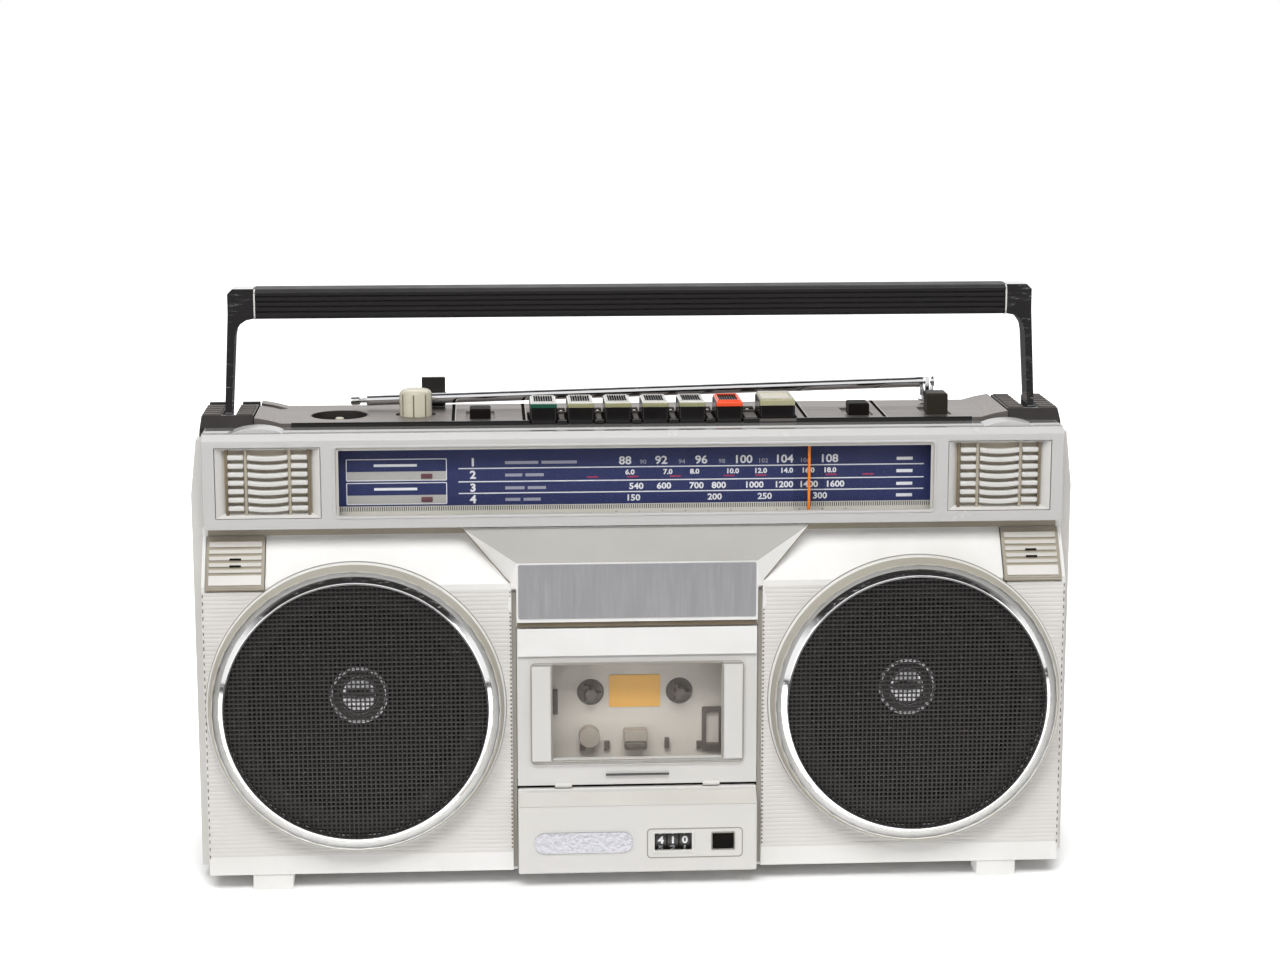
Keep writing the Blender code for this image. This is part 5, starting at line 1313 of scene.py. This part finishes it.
class RadioCounter(bpy.types.Operator):
    """Counter panel with its bare badge, number wheels and reset button"""

    bl_idname = "radio.counter"
    bl_label = "Tape Counter"

    def execute(self, context):
        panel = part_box("counter_panel")
        front = (panel[0].y - panel_y) / mm
        wear(refined("counter_panel", "pale_abs_moulded", 0.8, 3), "case", "pale_plastic", "counter_panel")
        # Painted reflection: a darker, warmer sheet on the counter's slope, which shows dimmer than its face
        slope = ((-56.0, front, 40.2), (56.0, front, 40.2), (56.0, -1.8, 45.8), (-56.0, -1.8, 45.8))
        wear(sheet("counter_slope", slope, "warm_abs_moulded"), "case", "pale_plastic")
        groove = loop_prism(
            "counter_groove", soft_rectangle(4.2, 49.8, 13.9, 28.6, 2.0), facing, front - 0.06, front + 0.3,
            "groove_line_grey", soft_rectangle(4.75, 49.25, 14.45, 28.05, 1.5),
        )
        wear(groove, "case", "beige_plastic")
        edge = loop_prism(
            "reset_surround", soft_rectangle(34.9, 46.0, 17.5, 26.2, 0.5), facing, front - 0.08, front + 0.3,
            "groove_line_grey", soft_rectangle(35.3, 45.6, 17.9, 25.8, 0.3),
        )
        wear(edge, "case", "beige_plastic")
        badge = loop_prism("badge", soft_rectangle(-49.0, -2.4, 17.2, 27.4, 5.0, 8), facing, front - 0.75, front,
                           "foil_film")
        wear(rounded(badge, 0.3), "case", "brushed_plate")
        surround = loop_prism(
            "counter_surround", soft_rectangle(6.6, 26.8, 16.4, 27.3, 1.0), facing, front - 0.25, front + 0.5,
            "pale_abs_moulded", soft_rectangle(7.9, 25.5, 17.6, 26.1, 0.3),
        )
        wear(rounded(surround, 0.2), "case", "beige_plastic")
        wear(refined("reset_button", "gap_shadow_black", 0.5), "reset", "black_plastic", "reset_button")
        shown = {"counter_hundreds": ("hundreds", 4), "counter_tens": ("tens", 1), "counter_units": ("units", 0)}
        for node, (body, figure) in shown.items():
            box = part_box(node)
            middle = (box[0] + box[1]) / 2
            wide = (box[1].x - box[0].x) / mm
            radius = (box[1].z - box[0].z) / 2 / mm
            wheel = turned(node + "_wheel", [(0, 0), (radius - 0.4, 0), (radius - 0.15, 0.2), (radius - 0.15, wide - 0.2),
                                             (radius - 0.4, wide), (0, wide)],
                           Vector((box[0].x, middle.y, middle.z)), (1, 0, 0), "black_abs_satin", 60)
            figures = []
            for step in range(10):
                words = str((figure + step) % 10)
                mark = written("digit", words, 0, 0, 3.5, "dial_ink_white", 0, 0.05)
                mark.data.transform(Matrix.Translation(-at(0, 0, 0)))
                turn = Matrix.Rotation(math.radians(36 * step), 4, "X")
                place = Matrix.Translation(middle) @ turn @ Matrix.Translation((0, -(radius - 0.14) * mm, 0))
                mark.data.transform(place)
                figures.append(mark)
            wear(joined(node + "_finished", [wheel] + figures), body, "black_plastic", node)
        return {"FINISHED"}


class RadioTop(bpy.types.Operator):
    """Brushed top plate, brackets, sliders and knobs"""

    bl_idname = "radio.top"
    bl_label = "Top"

    def execute(self, context):
        wear(refined("top_deck", "deck_aluminium_brushed", 0.25), "case", "brushed_plate", "top_deck")
        edge = [block("low", at(-160.5, 24.9, 216.9), at(160.5, 25.5, 218.1), "black_abs_gloss", 0.15)]
        open_from = (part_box("tape_key_1")[0].x - 0.4 * mm) / mm
        open_to = (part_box("wide_key")[1].x + 0.4 * mm) / mm
        edge.append(block("left", at(-160.5, 24.8, 217.6), at(open_from, 26.2, 219.7), "black_abs_gloss", 0.2))
        edge.append(block("right", at(open_to, 24.8, 217.6), at(160.5, 26.2, 219.7), "black_abs_gloss", 0.2))
        spots = [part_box("tape_key_%d" % number) for number in range(1, 7)] + [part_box("wide_key")]
        for before, after in zip(spots, spots[1:]):
            low_x = before[1].x / mm + 0.3
            high_x = after[0].x / mm - 0.3
            edge.append(block("foot", at(low_x, 24.9, 217.6), at(high_x, 26.2, 219.5), "black_abs_gloss", 0.1))
            edge.append(block("tongue", at(low_x + 0.9, 27.0, 219.2), at(high_x - 0.9, 42.0, 219.9),
                              "bracket_ribs_dusty", 0.15))
            edge.append(block("hollow", at(low_x, 42.6, 219.2), at(high_x, 61.5, 219.7), "gap_shadow_black", 0.05, 1))
            edge.append(block("bridge", at(low_x, 44.6, 219.3), at(high_x, 45.8, 220.6), "bracket_ribs_dusty", 0.2))
            edge.append(block("bar", at(low_x, 56.0, 219.3), at(high_x, 57.5, 220.4), "bracket_ribs_dusty", 0.2))
            pin = turned("pin", [(0, 0), (0.8, 0), (0.8, 1.2), (0, 1.5)], at((low_x + high_x) / 2, 47.6, 219.4),
                         (0, 0, 1), "zinc_steel_turned", 20)
            edge.append(pin)
        wear(joined("deck_front_strip", edge), "case", "black_plastic")
        lines = []
        for x in (-85.0, -51.6, 81.8, 119.5):
            lines.append(block("dark", at(x - 0.8, 26.3, 219.1), at(x + 0.7, 77.6, 219.4), "gap_shadow_black", 0.03, 1))
            lines.append(block("light", at(x + 0.8, 26.3, 219.1), at(x + 1.15, 77.6, 219.5), "pale_abs_moulded", 0.05, 1))
        wear(joined("deck_dividers", lines), "case", "black_plastic")
        for side, sign in sides:
            wear(refined("handle_bracket_" + side, "black_abs_satin", 0.5), "case", "black_plastic",
                 "handle_bracket_" + side)
            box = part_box("handle_bracket_" + side)
            # The ribs' grey is partly dust and partly a painted sheen
            ribs = []
            z = box[1].z / mm
            # The left bracket's ribs stop short of the antenna's channel
            for step in range(5 if sign < 0 else 7):
                for near_x, far_x in ((179.0, 186.3), (193.7, 202.0)):
                    low_x, high_x = sorted((sign * near_x, sign * far_x))
                    ribs.append(block("rib", at(low_x, 31.0 + 5.9 * step, z - 0.2),
                                      at(high_x, 34.6 + 5.9 * step, z + 0.65), "bracket_ribs_dusty", 0.2, 1))
            wear(joined("bracket_ribs_" + side, ribs), "case", "black_plastic")
        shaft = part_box("tuning_shaft")
        centre = Vector(((shaft[0].x + shaft[1].x) / 2, (shaft[0].y + shaft[1].y) / 2, 0.2105))
        cup = turned("tuning_cup", [
            (0, 0.05), (13.2, 0.05), (13.2, 8.7), (13.7, 8.85), (13.7, -0.1), (3.4, -0.1), (3.4, 0.0),
        ][1:], centre, (0, 0, 1), "black_abs_satin", 80, closed=True)
        wear(cup, "case", "black_plastic")
        stub = turned("tuning_shaft_end", [(0, 0), (2.1, 0), (2.1, 7.0), (1.8, 7.5), (0, 7.5)], centre, (0, 0, 1),
                      "cream_styrene_moulded", 32)
        wear(stub, "tuning", "plain_steel")
        for name, body in (("band_slider", "band_switch"), ("tape_radio_slider", "tape_radio_switch"),
                           ("mode_slider", "mode_switch")):
            look = "slider_abs_browned" if name == "mode_slider" else "slider_abs_black"
            wear(refined(name, look, 0.5), body, "black_plastic", name)
        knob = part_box("volume_knob")
        middle = (knob[0] + knob[1]) / 2
        tall = (knob[1].z - knob[0].z) / mm
        body = turned("knob_body", [
            (0, 0), (8.5, 0), (8.7, 0.3), (8.7, 1.6), (8.4, 1.9), (7.7, 2.2), (7.6, tall - 2.2), (7.2, tall - 1.3),
            (6.3, tall - 0.6), (4.0, tall - 0.1), (0, tall),
        ], Vector((middle.x, middle.y, knob[0].z)), (0, 0, 1), "cream_styrene_moulded", 80, angle=40)
        flutes = [body]
        for step in range(8):
            around = math.radians(-96 + 45 * step)
            reach = 7.3
            flute = block("flute", (-0.36 * mm, -0.45 * mm, 2.4 * mm), (0.36 * mm, 0.45 * mm, (tall - 2.2) * mm),
                          "knob_flute_brown", 0.15)
            turn = Matrix.Rotation(around + math.radians(90), 4, "Z")
            offset = Vector((middle.x + reach * mm * math.cos(around), middle.y + reach * mm * math.sin(around), knob[0].z))
            flute.data.transform(Matrix.Translation(offset) @ turn)
            flutes.append(flute)
        wear(joined("volume_knob_finished", flutes), "volume", "cream_plastic", "volume_knob")
        wear(refined("tuning_shaft", "zinc_steel_turned", 0.3), "tuning", "plain_steel", "tuning_shaft")
        return {"FINISHED"}


class RadioKeys(bpy.types.Operator):
    """Six tape keys and the wide key"""

    bl_idname = "radio.keys"
    bl_label = "Keys"

    def execute(self, context):
        looks = ["first_key_gloss"] + ["middle_key_gloss"] * 4 + ["last_key_gloss"]
        keys = [("tape_key_%d" % (index + 1), "key_%d" % (index + 1), look) for index, look in enumerate(looks)]
        keys.append(("wide_key", "wide_key_body", "wide_key_gloss"))
        for node, body, look in keys:
            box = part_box(node)
            x0 = box[0].x / mm
            x1 = box[1].x / mm
            d0 = (box[0].y - panel_y) / mm
            d1 = (box[1].y - panel_y) / mm
            top = box[1].z / mm
            wide = node == "wide_key"
            wear(refined(node, "black_abs_gloss", 0.6, 3), body, "black_plastic", node)
            tall = 2.8 if wide else 2.1
            rim_look = look if node in ("tape_key_6", "wide_key") else "silver_abs_moulded"
            band = block("band", at(x0 + 0.1, d0 - 0.25, top - tall), at(x1 - 0.1, d0 + 1.4, top - 0.1), look, 0.3)
            lid = loop_prism(
                "lid", soft_rectangle(x0 + 0.3, x1 - 0.3, d0 + 0.6, d1 - 0.6, 0.7), lying, top - 0.2, top + 0.2,
                rim_look, soft_rectangle(x0 + 2.0, x1 - 2.0, d0 + 3.2, d1 - 1.8, 0.4),
            )
            # A pale ring round the top of each key stands for its clear frame, painted pale for the bright highlights
            # on its edges
            frame_and_highlight = loop_prism(
                "frame", soft_rectangle(x0 + 1.1, x1 - 1.1, d0 + 2.4, d1 - 0.8, 0.6), lying, top + 0.1, top + 0.7,
                rim_look if node == "tape_key_6" else "pale_abs_moulded",
                soft_rectangle(x0 + 1.6, x1 - 1.6, d0 + 3.0, d1 - 1.5, 0.4),
            )
            parts = [band, lid, frame_and_highlight]
            if wide:
                parts.append(block("inset", at(x0 + 1.8, d0 + 3.1, top - 0.2), at(x1 - 1.8, d1 - 1.7, top + 0.15),
                                   "cream_styrene_moulded", 0.1))
            else:
                parts.append(bars("grip", 8, 1.15, d1 - d0 - 4.8, 0.75, 1.0,
                                  at((x0 + x1) / 2, (d0 + d1) / 2 + 0.8, top), "gap_shadow_black", (90, 0, 90)))
            slot = loop_prism(
                "key_slot_" + node, soft_rectangle(x0 - 1.1, x1 + 1.1, 26.3, d1 + 1.6, 0.5), lying, 219.1, 219.45,
                "gap_shadow_black", soft_rectangle(x0 - 0.15, x1 + 0.15, 26.4, d1 + 0.2, 0.2),
            )
            wear(slot, "case", "black_plastic")
            wear(joined(node + "_trim", parts), body, "chrome_plate")
        return {"FINISHED"}


class RadioHandle(bpy.types.Operator):
    """Grip with long ribs and the two plated arms"""

    bl_idname = "radio.handle"
    bl_label = "Handle"

    def execute(self, context):
        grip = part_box("handle_grip")
        d0 = (grip[0].y - panel_y) / mm
        d1 = (grip[1].y - panel_y) / mm
        z0 = grip[0].z / mm
        z1 = grip[1].z / mm
        outline = []
        for step in range(5):
            z = z0 + 2.2 + 2.4 * step
            outline += [(d0 + 0.7, z - 1.0), (d0, z - 0.7), (d0, z + 0.7), (d0 + 0.7, z + 1.0)]
        outline += [(d0 + 1.4, z1 - 0.6), (d0 + 2.6, z1), (d1 - 2.6, z1), (d1 - 1.4, z1 - 0.6)]
        for step in reversed(range(5)):
            z = z0 + 2.2 + 2.4 * step
            outline += [(d1 - 0.7, z + 1.0), (d1, z + 0.7), (d1, z - 0.7), (d1 - 0.7, z - 1.0)]
        outline += [(d1 - 1.4, z0 + 0.6), (d1 - 2.6, z0), (d0 + 2.6, z0), (d0 + 1.4, z0 + 0.6)]
        body = loop_prism("handle_grip_ribbed", outline, sideways, grip[0].x / mm, grip[1].x / mm,
                          "black_vinyl_extruded")
        wear(rounded(body, 0.12, 2, 20), "handle", "black_plastic", "handle_grip")
        for side, sign in sides:
            wear(refined("handle_arm_" + side, "chrome_plated", 1.2, 4), "handle", "chrome_plate",
                 "handle_arm_" + side)
            end = sign * grip[1].x / mm
            # Painted highlight: a pale band where the grip meets each arm, for the bright line along the chrome's edge
            # there
            band = loop_prism(
                "grip_end_highlight_" + side, soft_rectangle(d0 - 0.15, d1 + 0.15, z0 - 0.15, z1 - 0.02, 2.6), sideways,
                end - 0.7 * sign, end - 0.02 * sign, "pale_abs_moulded",
            )
            wear(band, "handle", "chrome_plate")
        return {"FINISHED"}


class RadioAntenna(bpy.types.Operator):
    """Telescopic antenna, its knuckle and its clip"""

    bl_idname = "radio.antenna"
    bl_label = "Antenna"

    def execute(self, context):
        wear(refined("antenna_clip", "black_abs_satin", 0.4), "case", "black_plastic", "antenna_clip")
        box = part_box("antenna_base")
        foot = Vector(((box[0].x + box[1].x) / 2, (box[0].y + box[1].y) / 2, box[0].z))
        deck = (0.2193 - box[0].z) / mm
        top = (box[1].z - box[0].z) / mm
        knuckle = turned("antenna_knuckle", [
            (0, 0), (2.0, 0), (2.0, deck + 1.6), (3.9, deck + 1.8), (4.0, deck + 2.2), (4.0, deck + 2.8),
            (3.6, deck + 3.1), (2.4, deck + 3.2), (2.4, deck + 3.8), (3.1, deck + 4.3), (3.15, top - 1.7),
            (2.8, top - 0.8), (1.8, top - 0.2), (0, top),
        ], foot, (0, 0, 1), "chrome_plated", 48)
        wear(knuckle, "case", "chrome_plate", "antenna_base")
        for node, body, radius, end_radius in (("antenna_tube", "antenna", 2.75, 2.75),
                                               ("antenna_middle", "antenna_second", 2.0, 2.0),
                                               ("antenna_tip", "antenna_third", 1.2, 2.4)):
            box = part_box(node)
            level = (box[0].y + box[1].y) / 2
            start = Vector((box[1].x, level, box[1].z - radius * mm))
            end = Vector((box[0].x, level, box[0].z + end_radius * mm))
            long = (end - start).length / mm
            profile = [(0, 0), (radius, 0), (radius, long - 0.4), (radius - 0.4, long), (0, long)]
            if node == "antenna_tube":
                profile[1:2] = [(2.6, 0), (2.95, 0.4), (2.95, 5.0), (2.5, 5.2), (2.5, 5.9), (2.95, 6.1), (2.95, 8.6),
                                (2.75, 8.9)]
                profile[-3:] = [(2.75, long + 9.0), (2.3, long + 9.5), (2.15, long + 9.0), (2.15, 1.0), (0, 1.0)]
            if node == "antenna_tip":
                profile[2:] = [(1.2, long - 4.6), (1.9, long - 4.4), (2.2, long - 4.0), (2.2, long - 0.7),
                               (1.8, long), (0, long)]
            rod = turned(node + "_turned", profile, start, end - start, "chrome_plated", 48)
            wear(rod, body, "chrome_plate", node)
        return {"FINISHED"}


class RadioBack(bpy.types.Operator):
    """Battery door, screws and what is inside the case"""

    bl_idname = "radio.back"
    bl_label = "Back and Inside"

    def execute(self, context):
        sizes = context.scene.radio_sizes
        wear(refined("battery_door", "silver_abs_moulded", 0.4), "battery_hatch", "silver_plastic", "battery_door")
        wear(refined("battery_tray", "black_abs_satin", 0.3), "case", "black_plastic", "battery_tray")
        wear(refined("circuit_board", "phenolic_board", 0.1, 1), "case", "circuit_board", "circuit_board")
        wear(refined("transformer", "iron_painted", 0.6), "case", "plain_steel", "transformer")
        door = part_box("battery_door")
        ribs = bars("door_grip", 7, 2.2, 34.0, 1.1, 0.9, Vector((0, door[1].y - 0.1 * mm, door[1].z - 12 * mm)),
                    "silver_abs_moulded")
        wear(ribs, "battery_hatch", "silver_plastic")
        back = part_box("rear_cabinet")[1].y
        points = [Vector((x * mm, back - 0.45 * mm, z * mm)) for x in (-190, -66, 66, 190) for z in (24, 190)
                  if abs(x) > 100 or z > 100]
        screws = grown("case_screws", screws_tree(), {
            "Head Radius": sizes.screw_radius,
            "Head Height": 1.4 * mm,
            "Turn": (math.radians(-90), 0, 0),
            "Finish": material("zinc_steel_turned"),
        }, points, 30)
        wear(screws, "case", "plain_steel")
        return {"FINISHED"}


class RadioStage(bpy.types.Operator):
    """Floor, soft lamps, surroundings and camera"""

    bl_idname = "radio.stage"
    bl_label = "Stage"

    def execute(self, context):
        scene = context.scene
        scene.view_settings.view_transform = "Standard"
        bm = bmesh.new()
        bmesh.ops.create_grid(bm, x_segments=1, y_segments=1, size=1.0)
        bm.transform(Matrix.Translation((0, 1.0, 0)) @ Matrix.Diagonal((3.0, 1.8, 1.0, 1.0)))
        mesh = bpy.data.meshes.new("floor")
        bm.to_mesh(mesh)
        bm.free()
        floor = new_object("floor", mesh)
        look, tree, shader, place = finish("floor_paper_white", linear("#F4F4F4"), 0.9)
        path = add_node(tree, "ShaderNodeLightPath").outputs
        seen = path["Is Camera Ray"]
        shader.inputs["Emission Color"].default_value = (1, 1, 1, 1)
        open_sky = add_node(tree, "ShaderNodeAmbientOcclusion", {"samples": 8}, {"Distance": 0.25}).outputs["AO"]
        free = ramp(tree, open_sky, 0.45, 1.0, 0.0, 0.9)
        glow = sum_of(tree, "MULTIPLY", seen, free)
        # In reflections the paper ends a hand's breadth round the object, and the dark room begins
        parts = add_node(tree, "ShaderNodeSeparateXYZ", links={"Vector": place}).outputs
        far = sum_of(tree, "MAXIMUM", ramp(tree, sum_of(tree, "ABSOLUTE", parts["X"]), 0.9, 1.2, 0.0, 1.0),
                     ramp(tree, sum_of(tree, "ABSOLUTE", parts["Y"]), 0.2, 0.32, 0.0, 1.0))
        near = sum_of(tree, "SUBTRACT", 1.0, far)
        glow = sum_of(tree, "ADD", glow, sum_of(tree, "MULTIPLY", path["Is Glossy Ray"], near))
        tree.links.new(glow, shader.inputs["Emission Strength"])
        darker = add_node(tree, "ShaderNodeMix", {"data_type": "RGBA"},
                          {6: (*linear("#F4F4F4"), 1), 7: (0.035, 0.033, 0.033, 1)},
                          {0: sum_of(tree, "MULTIPLY", path["Is Glossy Ray"], far)}).outputs[2]
        tree.links.new(darker, shader.inputs["Base Color"])
        mesh.materials.append(look)
        self.surround(scene)
        for name, place, aim, size, power in (
            ("lamp_above", (-0.2, -1.35, 1.85), (0, 0, 0.12), (1.6, 1.0), 48.0),
            ("lamp_left", (-1.7, -1.3, 0.7), (0, 0, 0.12), (1.0, 1.2), 5.0),
            ("lamp_right", (1.8, -1.1, 0.8), (0, 0, 0.12), (1.0, 1.2), 6.0),
            ("lamp_behind", (0.2, 1.2, 1.5), (0, 0, 0.15), (1.8, 0.8), 10.0),
        ):
            data = bpy.data.lights.new(name, "AREA")
            data.shape = "RECTANGLE"
            data.size, data.size_y = size
            data.energy = power
            lamp = new_object(name, data)
            lamp.location = place
            lamp.rotation_euler = (Vector(aim) - Vector(place)).to_track_quat("-Z", "Y").to_euler()
            lamp.visible_glossy = name != "lamp_above"
        data = bpy.data.cameras.new("camera")
        data.lens = 74.353
        data.sensor_width = 36.0
        data.clip_start = 0.05
        camera = new_object("camera", data)
        camera.location = (-0.07082, -1.24968, 0.42357)
        camera.rotation_euler = (math.pi / 2 - 0.18746, 0.0, -0.05995)
        scene.camera = camera
        return {"FINISHED"}

    def surround(self, scene):
        """White where the camera looks, darker in the room behind it for reflections, plain light otherwise."""
        world = bpy.data.worlds.new("studio_room")
        scene.world = world
        world.use_nodes = True
        tree = world.node_tree
        shader = tree.nodes["Background"]
        path = add_node(tree, "ShaderNodeLightPath").outputs
        way = add_node(tree, "ShaderNodeTexCoord").outputs["Generated"]
        parts = add_node(tree, "ShaderNodeSeparateXYZ", links={"Vector": way}).outputs
        forward = ramp(tree, parts["Y"], -0.15, 0.3, 0.0, 1.0)
        beside = ramp(tree, sum_of(tree, "ABSOLUTE", parts["X"]), 0.45, 0.7, 0.0, 1.0)
        beside = sum_of(tree, "MULTIPLY", beside, ramp(tree, parts["Z"], 0.35, 0.6, 1.0, 0.0))
        above = sum_of(tree, "MULTIPLY", ramp(tree, parts["Z"], 0.03, 0.12, 0.0, 1.0),
                       ramp(tree, parts["Y"], -0.42, -0.37, 1.0, 0.0))
        bright = sum_of(tree, "MAXIMUM", sum_of(tree, "MAXIMUM", forward, beside), above)
        bright = sum_of(tree, "MULTIPLY", bright, ramp(tree, parts["Z"], -0.2, -0.1, 0.0, 1.0))
        mirrored = add_node(tree, "ShaderNodeMix", {"data_type": "RGBA"},
                            {6: (0.035, 0.033, 0.033, 1), 7: (1, 1, 1, 1)}, {0: bright}).outputs[2]
        plain = add_node(tree, "ShaderNodeMix", {"data_type": "RGBA"}, {6: (0.22, 0.22, 0.22, 1)},
                         {0: path["Is Glossy Ray"], 7: mirrored}).outputs[2]
        direct = sum_of(tree, "MAXIMUM", path["Is Camera Ray"], path["Is Transmission Ray"])
        shown = add_node(tree, "ShaderNodeMix", {"data_type": "RGBA"}, {7: (1, 1, 1, 1)},
                         {0: direct, 6: plain}).outputs[2]
        tree.links.new(shown, shader.inputs["Color"])
        shader.inputs["Strength"].default_value = 1.0


class RadioPanel(bpy.types.Panel):
    """Lists the pieces, sizes and colours of the radio"""

    bl_idname = "VIEW3D_PT_radio"
    bl_label = "Cassette Radio"
    bl_space_type = "VIEW_3D"
    bl_region_type = "UI"
    bl_category = "Radio"

    def draw(self, context):
        column = self.layout.column(align=True)
        for operator in operators:
            column.operator(operator.bl_idname)
        for group in (context.scene.radio_sizes, context.scene.radio_colours):
            box = self.layout.box()
            for name in group.__annotations__:
                box.prop(group, name)


operators = (
    RadioCabinet,
    RadioSpeakers,
    RadioLouvres,
    RadioDial,
    RadioTapeDeck,
    RadioCounter,
    RadioTop,
    RadioKeys,
    RadioHandle,
    RadioAntenna,
    RadioBack,
    RadioStage,
)
classes = (RadioSizes, RadioColours) + operators + (RadioPanel,)


def register():
    """Registers the classes and hangs the sizes and colours on the scene."""
    for item in classes:
        bpy.utils.register_class(item)
    bpy.types.Scene.radio_sizes = bpy.props.PointerProperty(type=RadioSizes)
    bpy.types.Scene.radio_colours = bpy.props.PointerProperty(type=RadioColours)


def unregister():
    """Takes away what register added."""
    del bpy.types.Scene.radio_colours
    del bpy.types.Scene.radio_sizes
    for item in reversed(classes):
        bpy.utils.unregister_class(item)


def corners(box):
    """Both corners as plain lists of numbers."""
    return [list(box[0]), list(box[1])]


def main():
    """Builds every piece in order."""
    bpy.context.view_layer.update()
    register()
    for operator in operators:
        family, name = operator.bl_idname.split(".")
        getattr(getattr(bpy.ops, family), name)()


if __name__ == "__main__":
    main()
